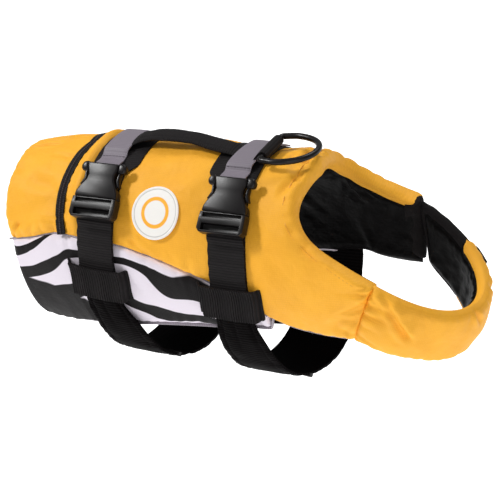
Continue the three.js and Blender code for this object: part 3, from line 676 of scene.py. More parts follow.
def rings(tree, colours):
    """White ground, one golden ring and a rim set off by a thin shaded line."""
    uv = node(tree, "ShaderNodeUVMap").outputs["UV"]
    length = node(tree, "ShaderNodeVectorMath", {0: uv}, operation="LENGTH").outputs["Value"]
    radius = bpy.context.scene.jacket_sizes.patch
    share = node(tree, "ShaderNodeMath", {0: length, 1: radius}, operation="DIVIDE").outputs[0]
    white, gold, shade = rgba(colours.patch), rgba(colours.shell), rgba(colours.patch, 0.6)
    tones = (white, white, gold, gold, white, white, shade, white)
    stops = list(zip((0, 0.44, 0.46, 0.58, 0.6, 0.86, 0.89, 0.92), tones))
    return node(tree, "ShaderNodeValToRGB", {"Fac": share}, stops).outputs["Color"]


def webbing(rough, share=1.0, gloss=0.2):
    """Black nylon webbing, woven thick: a ribbed face with a faint light on its threads."""
    threads = ("ribs", 2.3)  # coarser than the real 1 mm, which is too fine to show
    return {
        "colour": "black", "tone": threads, "shares": ((0, 0.45 * share), (1, 1.3 * share)), "rough": rough,
        "gloss": gloss, "relief": ((1.4, 0.5, "clouds", 60, 3, 0.5), (0.35, 0.8, *threads)),
    }


def thread(colour, share):
    """Bonded polyester sewing thread: twisted, with a low gloss."""
    shares = ((0.3, 0.7 * share), (0.7, 1.1 * share))
    return {"colour": colour, "tone": ("clouds", 700, 2), "shares": shares, "rough": 0.5}


# Each finish has its colour with shares of it over the heights of a tone pattern, or a function for its colours;
# its roughness, one value or two between clouds; its specular level; and its relief from coarse to fine: depth in
# mm, strength and pattern. Weaves are drawn at 1.4 to 2 mm, because the real 0.4 mm is too fine to show.
FINISHES = {
    # Oxford nylon, woven and coated: a fine grain, soft sheen and slightly uneven dye.
    "coated oxford nylon, golden yellow": {
        "colour": "shell", "tone": ("clouds", 26, 4, 0.6), "shares": ((0.3, 0.9), (0.7, 1.05)),
        "grain": (0.22, ("weave", 1.7), ((0, 0.7), (1, 1.1))), "rough": 0.6, "gloss": 0.3,
        "relief": ((3.2, 0.8, "clouds", 34, 3, 0.55), (0.9, 0.5, "clouds", 130, 4, 0.6), (0.16, 0.6, "weave", 1.7)),
    },
    # Woven nylon, printed: matt, with crisp edges to the print.
    "printed oxford nylon, striped": {
        "made_by": stripes, "rough": 0.66, "gloss": 0.16,
        "relief": ((2.6, 0.5, "clouds", 40, 3, 0.55), (0.16, 0.6, "weave", 1.7)),
    },
    # Black taffeta lining, woven tight: smooth, with a soft silky light on its folds. Its colour is kept far darker
    # than the other blacks, as painted shade inside the jacket.
    "nylon taffeta, black": {
        "colour": "black", "tone": ("clouds", 30), "shares": ((0.3, 0.12), (0.75, 0.3)), "rough": 0.42, "gloss": 0.07,
        "relief": ((4.5, 0.7, "clouds", 32, 3, 0.55), (1.4, 0.6, "clouds", 90, 4, 0.6), (0.1, 0.4, "weave", 1.7)),
    },
    "nylon webbing, black": webbing(0.7),
    "woven tape, black": webbing(0.6),
    "nylon coil, dark grey": webbing(0.5, 6),
    # The belly bands' padded nylon is the webbing at 0.4 of its colour: the darker colour is painted shade for the
    # bands under the body.
    "padded nylon, black": webbing(0.65, 0.4, 0.02),
    "elastic webbing, black": webbing(0.8),
    # Grey webbing with a woven reflective face: even and satin, with fine threads across.
    "reflective nylon webbing, grey": {
        "colour": "reflective", "tone": ("weave", 2.0), "shares": ((0, 0.7), (1, 1.0)), "rough": 0.5, "gloss": 0.3,
        "relief": ((0.2, 0.6, "weave", 2.0),),
    },
    # Acetal, injection moulded: smooth and glossy, with a faint orange-peel texture.
    "moulded acetal, black": {
        "colour": "black", "tone": ("clouds", 90), "shares": ((0.35, 0.5), (0.7, 0.8)), "rough": (0.29, 0.37),
        "gloss": 0.3, "relief": ((0.05, 0.25, "clouds", 500, 2),),
    },
    # Hook-and-loop cloth: a dull, fuzzy pile of small loops.
    "hook-and-loop, black": {
        "colour": "black", "tone": ("clouds", 900, 4, 0.7), "shares": ((0.3, 0.35), (0.7, 1.3)), "rough": 0.9,
        "gloss": 0.2, "relief": ((0.6, 0.9, "clouds", 900, 4, 0.7),),
    },
    # Polyester piping and binding, woven: a fine rib across its length.
    "polyester piping, grey": {
        "colour": "piping", "tone": ("ribs", 2.0), "shares": ((0, 0.65), (1, 1.0)), "rough": 0.6,
        "relief": ((0.2, 0.6, "ribs", 2.0),),
    },
    # Woven and embroidered patch: close matt threads with an overlocked rim.
    "embroidered patch, white and gold": {"made_by": rings, "rough": 0.7, "relief": ((0.2, 0.7, "weave", 1.4),)},
    "sewing thread, golden": thread("shell", 0.88),
    "sewing thread, dark grey": thread("reflective", 0.35),
}


def finish(name):
    """The material of a finish, made when it is first used."""
    made = bpy.data.materials.get(name)
    if made:
        return made
    made = bpy.data.materials.new(name)
    made.use_nodes = True
    tree, row, colours = made.node_tree, FINISHES[name], bpy.context.scene.jacket_colours
    shader = tree.nodes["Principled BSDF"]

    def toned(height, shares):
        stops = [(place, rgba(getattr(colours, row["colour"]), share)) for place, share in shares]
        return node(tree, "ShaderNodeValToRGB", {"Fac": height}, stops).outputs["Color"]

    if "made_by" in row:
        base = row["made_by"](tree, colours)
    else:
        base = toned(pattern(tree, *row["tone"]), row["shares"])
    if "grain" in row:
        share, weave, shares = row["grain"]
        mixed = {"Factor": share, 6: base, 7: toned(pattern(tree, *weave), shares)}
        base = node(tree, "ShaderNodeMix", mixed, data_type="RGBA").outputs[2]
    tree.links.new(base, shader.inputs["Base Color"])
    if isinstance(row["rough"], tuple):
        low, high = row["rough"]
        scuffs = node(tree, "ShaderNodeMapRange", {0: pattern(tree, "clouds", 90, 2), 3: low, 4: high})
        tree.links.new(scuffs.outputs[0], shader.inputs["Roughness"])
    else:
        shader.inputs["Roughness"].default_value = row["rough"]
    shader.inputs["Specular IOR Level"].default_value = row.get("gloss", 0.5)
    normal = None
    for depth, strength, *height in row.get("relief", ()):
        inputs = {"Height": pattern(tree, *height), "Distance": depth / 1000, "Strength": strength}
        if normal:
            inputs["Normal"] = normal
        normal = node(tree, "ShaderNodeBump", inputs).outputs["Normal"]
    if normal:
        tree.links.new(normal, shader.inputs["Normal"])
    return made


# ---------------------------------------------------------------- operators
class JACKET_OT_shell(bpy.types.Operator):
    """Sews the yellow foam panels over the back, the sides and the loin"""

    bl_idname = "jacket.shell"
    bl_label = "Yellow shell panels"

    def execute(self, context):
        thick = context.scene.jacket_sizes.foam * 1000
        yellow = finish("coated oxford nylon, golden yellow")
        flat = lambda x, angle: (x, angle * MM_PER_DEGREE)

        def main_sides(u, v, x, angle):
            t = np.abs(2 * v - 1)
            neck = 1 - smooth(t, RIM_SHARE - 0.03, RIM_SHARE + 0.01)
            free = smooth(x, STRIPES_END, STRIPES_END + 16)
            front = (mix(5.0, ROUND, neck), mix(3.0, ROUND, neck), 8.5)
            return u, t, 300, 165, TAPED_EDGE, front, None, (mix(4.0, ROUND, free), mix(3.0, ROUND, free), 8.0)

        def seam_x(angle, seam):
            (x0, a0), (x1, a1) = seam["top"], seam["bottom"]
            return x0 + (np.abs(angle) - a0) * (x1 - x0) / (a1 - a0)

        def main_relief(x, angle):
            arc = angle * MM_PER_DEGREE
            away = np.maximum(np.where(angle <= 0, seam_x(angle, NEAR_SEAM), seam_x(angle, FAR_SEAM)) - x, 0)
            reach = smooth(np.abs(angle), 74, 82) * np.where(angle > 0, 0.3, 1)
            rim = np.where(np.abs(angle) < NECK_RIM["angle"][-1], across_at(angle, NECK_RIM), FAR_OFF)
            return (
                body_relief(x, angle)
                + puckers(arc, away, 11, 4.4, 7.5, 17) * reach
                + puckers(x, above(x, angle, COLOUR_LINE), 12, 1.8, 10, 11)
                + puckers(arc, np.maximum(x - across_at(angle, POCKET_SEAM), 0), 13, 1.3, 9, 12)
                + puckers(arc, np.abs(rim - x), 14, 2.8, 10, 17)
            )

        def rear_relief(x, angle):
            arc = angle * MM_PER_DEGREE
            return (
                body_relief(x, angle)
                + puckers(x, above(x, angle, COLOUR_LINE), 21, 2.6, 9, 13)
                + puckers(arc, np.maximum(across_at(angle, POCKET_SEAM) - x, 0), 22, 1.5, 10, 14)
                + puckers(arc, np.maximum(x - across_at(angle, HEM), 0), 23, 1.3, 13, 14)
            )

        def sewn(name, rows, columns, cut, sides, relief):
            lift = lambda inner, x, angle, outer, under, full: (
                under - thick if inner else relief(x, angle) * full - outer
            )
            piece = panel(rows, columns, 0.4, cut, on_body, sides, lift, flat)
            settle(piece, f"{name}_panel", yellow, name)

        cut = lambda u, v: main_cut(u, 2 * v - 1, front_trim=-0.6)
        sewn("main_shell", 150, 240, cut, main_sides, main_relief)
        share = np.linspace(-0.66, 0.66, 118)
        seams = [neck_edge(NEAR_SEAM if k < 0 else FAR_SEAM, abs(k)) for k in share]
        x = np.array([float(k[0]) for k in seams]) - 11
        angle = np.sign(share) * np.array([float(k[1]) for k in seams])
        spots, out = on_line(x, angle, main_relief(x, angle) - 0.05)
        golden = finish("sewing thread, golden")
        stitches("neck_stitches", spots, np.gradient(spots, axis=0), out, golden, "main_shell")

        cut = lambda u, v: rear_cut(u, 2 * v - 1)
        sides = lambda u, v, x, angle: (
            u, np.abs(2 * v - 1), 78, 125, (ROUND, ROUND, 9.0), TAPED_EDGE, None, (4.0, 3.0, 8.0)
        )
        sewn("rear_shell", 56, 210, cut, sides, rear_relief)
        return {"FINISHED"}


class JACKET_OT_lower_panels(bpy.types.Operator):
    """Sews the striped foam panels along both flanks, with their grey piping and binding"""

    bl_idname = "jacket.lower_panels"
    bl_label = "Striped lower panels"

    def execute(self, context):
        thick = context.scene.jacket_sizes.foam * 1000 - 0.6
        below = lambda x, angle: (np.abs(angle) - along_at(x, COLOUR_LINE)) * MM_PER_DEGREE

        def sides(u, v, x, angle):
            height = (along_at(x, BELLY_EDGE) - along_at(x, COLOUR_LINE)) * MM_PER_DEGREE
            return u, v, 285, height, (7.2, 7.2, 9.0), (4, 4, 8.0), (4, 3, 8.0), (7.2, 7.2, 8.0)

        def lift(inner, x, angle, outer, under, full):
            if inner:
                return under - thick
            seam = puckers(x, np.maximum(below(x, angle), 0), 31, 1.7, 10, 11)
            rim = puckers(x, above(x, angle, BELLY_EDGE), 32, 1.7, 12, 14)
            return (body_relief(x, angle) + seam + rim) * full - outer

        def cord(name, x, line, height, radius, half, columns):
            spine, normal = on_line(x, line, height)
            arch = lambda w: radius * np.sqrt(np.maximum(0, 1 - w * w))
            piece = ribbon(spine, normal, half, arch, lambda w: -arch(w), columns, angle=80)
            settle(piece, name, finish("polyester piping, grey"), "rear_strap_top", replaces=False)

        for side, name in ((-1, "near"), (1, "far")):
            cut = lambda u, v: lower_cut(u, v, side)
            piece = panel(140, 52, 0.4, cut, on_body, sides, lift, lambda x, angle: (x, below(x, angle)))
            striped = finish("printed oxford nylon, striped")
            settle(piece, f"striped_panel_{name}", striped, f"lower_panel_{name}")
            x = np.linspace(-199, STRIPES_END, 140)
            cord(f"piping_{name}", x, side * along_at(x, COLOUR_LINE), -3.4, 1.1, 1.1, 6)
            x = np.linspace(-186, STRIPES_END, 130)
            line = side * along_at(x, BELLY_EDGE)
            front_x, front_line = main_cut(np.linspace(0.5, 0.985, 90), side * np.ones(90))
            ahead = front_x > STRIPES_END + 4
            x, line = np.append(x, front_x[ahead]), np.append(line, front_line[ahead])
            height = -4.4 - 3.3 * smooth(x, 78, 96)
            cord(f"belly_binding_{name}", x, line + side * 0.4, height, 2.5, 1.2, 8)
        return {"FINISHED"}


class JACKET_OT_linings(bpy.types.Operator):
    """Lines the body with wrinkled black cloth"""

    bl_idname = "jacket.linings"
    bl_label = "Body lining"

    def execute(self, context):
        foam = context.scene.jacket_sizes.foam * 1000
        thick = context.scene.jacket_sizes.lining * 1000
        random = np.random.RandomState(41)
        folds = []
        for _ in range(34):
            x0, y0 = random.uniform(-190, 170), random.uniform(-115, 115) * LINING_MM
            end = (x0 + random.uniform(-34, 34), y0 + random.uniform(-46, 46))
            folds.append(((x0, y0), end, random.uniform(3, 7), random.uniform(0.8, 2.2)))
        for k in range(9):
            ray = np.array([math.cos(math.radians(-70 + 24 * k)), math.sin(math.radians(-70 + 24 * k))])
            end = FAN + random.uniform(26, 52) * ray
            folds.append((FAN + 6 * ray, end, random.uniform(2.5, 4), random.uniform(1.2, 2.4)))

        def cut(u, v):
            x, angle = lining_cut(u, 2 * v - 1)
            tucked = 1.8 * smooth(x, 86, 112) * smooth(np.abs(2 * v - 1), 0.9, 1)
            return x, np.sign(2 * v - 1) * (np.abs(angle) - tucked)

        def sides(u, v, x, angle):
            t = np.abs(2 * v - 1)
            front = mix(6.5, ROUND, 1 - smooth(t, RIM_SHARE - 0.03, RIM_SHARE + 0.01))
            return u, t, 300, 165, (1, ROUND, 9.0), (1, front, 8.5), None, (1, ROUND, 8.0)

        def lift(inner, x, angle, outer, under, full):
            base = -foam - 0.5 + under
            if not inner:
                return base
            arc = angle * LINING_MM
            ripple = unevenness(x, arc, 42, 0.5, 60, 14)
            for start, end, width, depth in folds:
                ripple += fold(x, arc, start, end, width, -depth)
            return base - (thick + np.maximum(0, ripple + 0.6) * full)

        piece = panel(130, 190, 0.3, cut, on_body, sides, lift, lambda x, angle: (x, angle * LINING_MM))
        # The lining's very dark black is painted shade inside the body.
        settle(piece, "body_lining_cloth", finish("nylon taffeta, black"), "body_lining")
        return {"FINISHED"}


class JACKET_OT_chest(bpy.types.Operator):
    """Sews the yellow chest band with its lining and its hook-and-loop closure"""

    bl_idname = "jacket.chest"
    bl_label = "Chest band and closure"

    def execute(self, context):
        sizes = context.scene.jacket_sizes
        thick, foam = sizes.chest_foam * 1000, sizes.foam * 1000
        across_mm, down_mm = 150, 58
        # Creases of the band: from and to in turn and share of the way down, width and depth in mm.
        creases = (
            (-0.92, -0.06, -0.7, 0.48, 3.4, 4.4), (-0.17, -0.02, -0.1, 0.26, 3, 3.6),
            (-0.84, 0.02, -0.68, 0.3, 7, -1.8), (-0.62, 0.55, -0.42, 0.98, 7, -1.2), (-0.9, 0.35, -0.74, 0.6, 4, 1.0),
            (-0.3, 0.6, 0.05, 0.85, 9, 0.9), (0.2, 0.05, 0.3, 0.4, 4, 2.6), (0.36, 0.5, 0.5, 0.9, 6, 1.0),
        )
        flat = lambda turn, down: (turn * across_mm, down * down_mm)

        def relief(turn, down):
            px, py = flat(turn, down)
            total = unevenness(px, py, 51, 0.4, 80, 20)
            for t0, d0, t1, d1, width, depth in creases:
                total += fold(px, py, flat(t0, d0), flat(t1, d1), width, depth)
            total += puckers(py, (turn + 1) * across_mm, 52, 4.4, 8, 20)
            total += puckers(px, py, 53, 1.8, 12, 12)
            total += puckers(px, down_mm - py, 54, 1.6, 12, 12)
            return total + 1.4

        def made(size, ease, turns, long, wide, ends, edges, lift, inset=(0, 1), flat=flat):
            """A piece of the band between two turns, drawn in at its top and bottom by that share."""
            cut = lambda u, v: (mix(*turns, u), v)
            sides = lambda u, v, turn, down: (u, v, long, wide, *ends, *edges)
            surface = lambda turn, down, height: on_chest(turn, mix(*inset, down), height)
            return panel(*size, ease, cut, surface, sides, lift, flat)

        def band_lift(inner, turn, down, outer, under, full):
            return under - thick if inner else relief(turn, down) * full - outer

        rim = (6.7, 6.7, 8.0)
        turns = (-1.014, CLOSURE_FROM)
        piece = made((150, 44), 0.3, turns, 230, down_mm, ((6.5, 3, 9.0), rim), (rim, rim), band_lift)
        yellow = finish("coated oxford nylon, golden yellow")
        settle(piece, "chest_band_panel", yellow, "chest_band")

        def lining_lift(inner, turn, down, outer, under, full):
            px, py = flat(turn, down)
            ripple = unevenness(px, py, 61, 0.8, 50, 12) + 1.2 - puckers(px, py, 62, 1.6, 9, 24)
            return -thick - 0.4 + under - (1 + np.maximum(0, ripple) * full if inner else 0)

        end, edge = (1, 1, 8.0), (1, 6.7, 8.0)
        piece = made(
            (130, 30), 0.2, (-1.03, 0.95), 300, down_mm, (end, end), (edge, edge), lining_lift, (0.07, 0.93)
        )
        # The chest lining takes the same darkened black, painted shade inside the band.
        settle(piece, "chest_lining_cloth", finish("nylon taffeta, black"), "chest_lining")

        tab_from, tab_to, tab_long, tab_wide = CLOSURE_FROM - 0.01, 0.992, 70, 55
        tab_flat = lambda turn, down: ((turn - tab_from) / (tab_to - tab_from) * tab_long, down * tab_wide)

        def tab_lift(inner, turn, down, outer, under, full):
            return under - thick if inner else unevenness(*tab_flat(turn, down), 71, 1.0, 40, 12) * full - 3 - outer

        end, edge = (3, 3, 5.0), (4, 4, 6.0)
        piece = made(
            (50, 34), 0.2, (tab_from, tab_to), tab_long, tab_wide, (end, end), (edge, edge), tab_lift, (0.02, 0.97),
            tab_flat,
        )
        fuzzy = finish("hook-and-loop, black")
        settle(piece, "closure_tab_cloth", fuzzy, "closure_tab")

        def cap_lift(inner, x, angle, outer, under, full):
            ripple = unevenness(x, angle * MM_PER_DEGREE, 72, 0.8, 30, 9) * full
            return -foam - 2.2 + under - ripple if inner else 1.2 - outer + ripple

        def cap_cut(u, v):
            return mix(FAR_SEAM["top"][0], FAR_SEAM["bottom"][0], u) + 1.6 - 15 * (1 - v), mix(75.5, 110.5, u)

        cap_sides = lambda u, v, x, angle: (u, v, 50, 15, (7, 7, 7.0), (7, 7, 7.0), None, (7.5, 7.5, 8.0))
        piece = panel(44, 26, 0.2, cap_cut, on_body, cap_sides, cap_lift, lambda x, angle: (x, angle))
        settle(piece, "far_end_binding", fuzzy, "closure_tab", replaces=False)

        turn = np.linspace(CLOSURE_FROM - 0.12, 0.88, 60)
        dip = 0.3 - 3.4 * smooth(turn, CLOSURE_FROM, CLOSURE_FROM + 0.08)
        low, high = on_chest(turn, 0.42, dip), on_chest(turn, 0.42, dip + 1)
        piece = ribbon(low, high - low, 19, lambda w: 1.8, lambda w: 0, 8)
        settle(piece, "closure_strap", finish("nylon webbing, black"), "closure_webbing")
        return {"FINISHED"}


class JACKET_OT_trim(bpy.types.Operator):
    """Adds the curved tape over the rear seam and the round patch"""

    bl_idname = "jacket.trim"
    bl_label = "Seam tape and patch"

    def execute(self, context):
        angle = np.linspace(-72.6, 72.6, 200)
        spine, normal = on_line(across_at(angle, POCKET_SEAM), angle, 0.6)

        def tape(w):
            return 1.3 + 0.5 * np.exp(-((w / 0.12) ** 2)) - 0.35 * np.exp(-(((np.abs(w) - 0.35) / 0.1) ** 2))

        piece = ribbon(spine, normal, 4.7, tape, lambda w: -3 * (1 - w * w) - 0.2, 16)
        settle(piece, "seam_tape_cloth", finish("woven tape, black"), "seam_tape")
        piece = ribbon(spine + 1.5 * normal, normal, 0.8, lambda w: 0.6 * (1 - w * w), lambda w: -0.4, 6)
        settle(piece, "seam_coil", finish("nylon coil, dark grey"), "seam_tape", replaces=False)

        radius = context.scene.jacket_sizes.patch * 1000
        centre_x, centre_angle = PATCH_AT
        degree = np.linalg.norm(body(centre_x, centre_angle - 1) - body(centre_x, centre_angle))

        def disc(u, v, inner):
            a, b = 2 * u - 1, 2 * v - 1
            dx, dy = a * np.sqrt(1 - b * b / 2), b * np.sqrt(1 - a * a / 2)
            r = np.hypot(dx, dy)
            rim = 0.5 * np.exp(-(((r - 0.955) / 0.035) ** 2)) - 0.15 * np.exp(-(((r - 0.89) / 0.02) ** 2))
            x, angle = centre_x + radius * dx, centre_angle + radius * dy / degree
            lift = 2.7 + body_relief(x, angle) * 0.25 + (0 if inner else 1.0 + rim)
            return on_body(x, angle, lift), (radius * dx, radius * dy)

        piece = layered(60, 60, disc, angle=60)
        settle(piece, "round_patch_cloth", finish("embroidered patch, white and gold"), "round_patch")
        return {"FINISHED"}


class JACKET_OT_belts(bpy.types.Operator):
    """Lays the webbing straps round the body, with the belly bands and the ribbed keepers"""

    bl_idname = "jacket.belts"
    bl_label = "Belts, belly bands and keepers"

    def execute(self, context):
        sizes = context.scene.jacket_sizes
        webbing, width, band_thick = sizes.webbing * 1000, sizes.strap_width * 1000, sizes.band * 1000
        black, grey = finish("nylon webbing, black"), finish("sewing thread, dark grey")
        reflective_half = sizes.crest_width * 500
        for belt, row in BELTS.items():
            rise, side, near, mid, far = (row[key] for key in ("rise", "strap_side", "near", "mid", "far"))
            crest = lambda angle: 1 - smooth(np.abs(angle), 20, 30)
            first = rise + SEAM
            second = first + webbing + SEAM

            def strip(part, material, start, end, rows, half, low, shift=lambda angle: 0):
                def lay(u, v, inner):
                    angle, w = mix(start, end, u), 2 * v - 1
                    x = strap_place(belt, angle) + shift(angle) + half(angle) * w
                    lift = low(angle) + (0 if inner else webbing - 0.5 * np.abs(w) ** 8)
                    return on_body(x, angle, lift), (angle * MM_PER_DEGREE, half(angle) * w)

                name = {"base": "webbing", "top": "reflective", "tail": "end"}[part]
                piece = layered(rows, 12, lay, angle=40)
                settle(piece, f"{belt}_strap_{name}", material, f"{belt}_strap_{part}")

            half = lambda a: width / 2 + 6 * crest(a)
            strip("base", black, -95, 102, 160, half, lambda a: first, lambda a: row["anchor"] * crest(a))

            def over_crest(a):
                over_handle = 1 - smooth(np.abs(a), row["over"], row["over"] + 5)
                return second + 4.4 * smooth(-a, 19, 27) + 3.4 * over_handle

            lean = lambda a: row["lean"] * smooth(a, -22, 8)
            silver = finish("reflective nylon webbing, grey")
            strip("top", silver, -29, 31, 80, lambda a: reflective_half, over_crest, lean)
            for number, place in enumerate((-17.5, 19.5)):
                w = np.linspace(-0.82, 0.82, 7) * reflective_half
                angle = place + 0 * w
                lift = over_crest(angle) + webbing + 0.05
                spots, out = on_line(strap_place(belt, angle) + lean(angle) + w, angle, lift)
                ahead = np.tile((1, 0, 0), (len(w), 1))
                stitches(f"{belt}_cross_stitches_{number}", spots, ahead, out, grey, f"{belt}_strap_top")
            loose = lambda a: second + 2.0 * smooth(a, -66, -59) + 0.5 * np.sin(a * 0.9)
            strip("tail", black, -95.5, -57, 50, lambda a: width / 2, loose)

            rows = {
                "share": (0, 0.05, 0.14, 0.28, 0.5, 0.72, 1),
                "centre": (side, side, near, mix(near, mid, 0.4), mid, mix(mid, far, 0.6), far),
                "width": (40, 40, 49, 56, 66, 64, 62),
                "bulge": (0, 0, 2, 5, -2, 3, 0),
            }

            def band(u, v, inner):
                centre, wide, bulge = (curve(u, rows["share"], rows[key]) for key in ("centre", "width", "bulge"))
                w = 2 * v - 1
                binding = smooth(np.abs(w), 0.72, 0.76)
                face = 0.7 * (1 - np.abs(w / 0.74) ** 4) * (1 - binding) + 0.5 * binding
                face -= 0.7 * np.exp(-(((np.abs(w) - 0.74) / 0.03) ** 2))
                px, py = u * 240, w * 30
                wave = unevenness(px, py, 81, 0.5, 70, 18) + puckers(px, 30 - np.abs(py), 82, 1.5, 11, 14)
                wave += puckers(py, px, 83, 2.2, 9, 26)
                lift = rise + webbing + 2 * SEAM + bulge
                lift = lift + (0 if inner else band_thick - 1.0 * np.abs(w) ** 10 + face + wave * 0.8)
                return on_body(centre + wide * w / 2, mix(*BAND_TURN, u), lift), (px, py)

            node_name = f"{belt}_belly_band"
            piece = layered(170, 40, band, angle=60)
            # The pad's darker black is painted shade for its place under the body.
            settle(piece, f"{belt}_belly_pad", finish("padded nylon, black"), node_name)

            share = (row["foot"] - BAND_TURN[0]) / (BAND_TURN[1] - BAND_TURN[0])
            middle = float(curve(share, rows["share"][2:5], rows["centre"][2:5]))
            across = np.linspace(-31, 31, 40)
            spine, normal = on_line(middle + across, row["foot"] + 0 * across, rise + 7.5 + 0.4 * np.sin(across / 4))
            piece = ribbon(spine, normal, 3.2, lambda w: 1.3 * (1 - w**4), lambda w: -3, 8)
            settle(piece, f"{belt}_band_bar", finish("woven tape, black"), node_name, replaces=False)

            def keep(u, v, inner):
                off = np.abs(u - 0.5) * KEEPER_LONG
                base = 2 * SEAM + (1 - smooth(off, 27, 32)) * (rise + webbing + band_thick + 3 * SEAM)
                rib = 0.9 * (0.5 - 0.5 * np.cos(2 * math.pi * sizes.ribs * u)) ** 0.7
                roll = 0.6 * np.exp(-((np.minimum(v, 1 - v) / 0.07) ** 2))
                x = side - 1 + KEEPER_LONG * (u - 0.5) + 0.8 * np.sin(v * 5)
                lift = base + (0 if inner else 1.8 + rib + roll)
                return on_body(x, -mix(88, 104, v), lift), (u * KEEPER_LONG, v * 24)

            piece = layered(26 * 9, 14, keep, angle=60)
            settle(piece, f"{belt}_keeper_elastic", finish("elastic webbing, black"), f"{belt}_keeper")
        return {"FINISHED"}


def buckle_place(belt):
    """Matrix of a buckle in metres: x along the back, y up the strap and z out of it."""
    x = float(strap_place(belt, BUCKLE_ANGLE))
    middle = on_body(x, BUCKLE_ANGLE, 0)
    out = on_body(x, BUCKLE_ANGLE, 1) - middle
    out[0] = 0
    out /= np.linalg.norm(out)
    origin = middle + out * (BELTS[belt]["rise"] + 1.8 + 2 * SEAM)
    rows = zip((1, 0, 0), np.cross(out, (1, 0, 0)), out, origin)
    return Matrix.Scale(0.001, 4) @ Matrix((*rows, (0, 0, 0, 1)))


# Blocks of each buckle half: outline, lower and upper face, round of the edges and slots from corner to corner.
BUCKLE = {
    "socket": (
        (
            (
                (-22, -7.8), (-22.6, -14), (-22.8, -24), (-20, -27.4),
                (22, -27.4), (24.8, -24), (24.7, -14), (24.4, -7.8),
            ),
            0.3, 11, 1.5, (((-18.5, -12.6, 7.4), (20.5, -8.8, 14)), ((-18.5, -25.2, 4.4), (20.5, -18.6, 14))),
        ),
        (((-19, -18.2), (21, -18.2), (21, -13.4), (-19, -13.4)), 5.5, 10.4, 2.0),
        (((-22, -7.6), (-21, -1), (-17, 3.8), (19, 3.8), (23, -1), (24.4, -7.6)), 0.4, 6, 0.8),
    ),
    "plug": (
        (
            (
                (-21.6, -7.5), (-20.8, -2), (-17.5, 4), (-12.6, 10), (-11.6, 15), (-13.6, 21), (-15, 27),
                (18.4, 27), (18.4, 21), (16.6, 15), (17.4, 10), (20.6, 4), (23.4, -2), (24, -7.5),
            ),
            5.2, 10.8, 1.6,
        ),
        (((-16.5, 4.4), (-12.4, 11), (-12.4, 24), (16.4, 24), (16.4, 11), (19.6, 4.4)), 0.4, 5.4, 0.8),
        (((-20.4, 5), (-17, 12), (-17.5, 19), (-15, 20), (-13.8, 11), (-16.5, 5)), 1.8, 7.6, 1.0),
        (((23.2, 5), (21, 12), (21.4, 19), (18.4, 20), (17.8, 11), (20, 5)), 1.8, 7.6, 1.0),
        (((-21, 18.5), (-23, 23), (-20.5, 28), (-14.5, 28.5), (-14, 18.5)), 1.4, 8.8, 2.2),
        (((25, 18.5), (27, 23), (24.5, 28), (17.5, 28.5), (17, 18.5)), 1.4, 8.8, 2.2),
    ),
}


class JACKET_OT_buckles(bpy.types.Operator):
    """Moulds the two side-release buckles in their sockets and plugs"""

    bl_idname = "jacket.buckles"
    bl_label = "Side-release buckles"

    def execute(self, context):
        for belt in BELTS:
            for half, blocks in BUCKLE.items():
                piece = joined([block(*row) for row in blocks], buckle_place(belt))
                name = f"{belt}_buckle_{half}"
                settle(piece, f"{name}_moulding", finish("moulded acetal, black"), name)
        return {"FINISHED"}


class JACKET_OT_handle(bpy.types.Operator):
    """Sews the padded grab handle that arches from belt to belt"""

    bl_idname = "jacket.handle"
    bl_label = "Grab handle"

    def execute(self, context):
        x = np.linspace(HANDLE["x"][0] + 1, HANDLE["x"][-1] - 1, 130)
        z = curve(x, HANDLE["x"], HANDLE["z"]) + 0.4 * np.sin(x / 7)
        spine = np.stack([x, 0 * x, z], -1)
        normal = unit(np.stack([-np.gradient(z, x), 0 * x, 1 + 0 * x], -1))
        thin = 1 - 0.62 * (smooth(-x, 68, 76) + smooth(x, 26, 34))
        half = 10.5 + 0.5 * np.sin(x / 9) + 7 * (smooth(-x, 62, 84) + smooth(x, 30, 46))
        puff = lambda w: np.maximum(0, 1 - np.abs(w) ** 3.2) ** 0.5
        top = lambda w: 3.4 * puff(w) - 0.5 * np.exp(-(((np.abs(w) - 0.72) / 0.08) ** 2))
        piece = ribbon(spine, normal, half, top, lambda w: -3 * puff(w), 26, angle=70, share=thin)
        follow_crest(piece, lambda at: smooth(-at, 62, 80) + smooth(at, 28, 42))
        settle(piece, "grab_handle_webbing", finish("nylon webbing, black"), "handle")
        return {"FINISHED"}


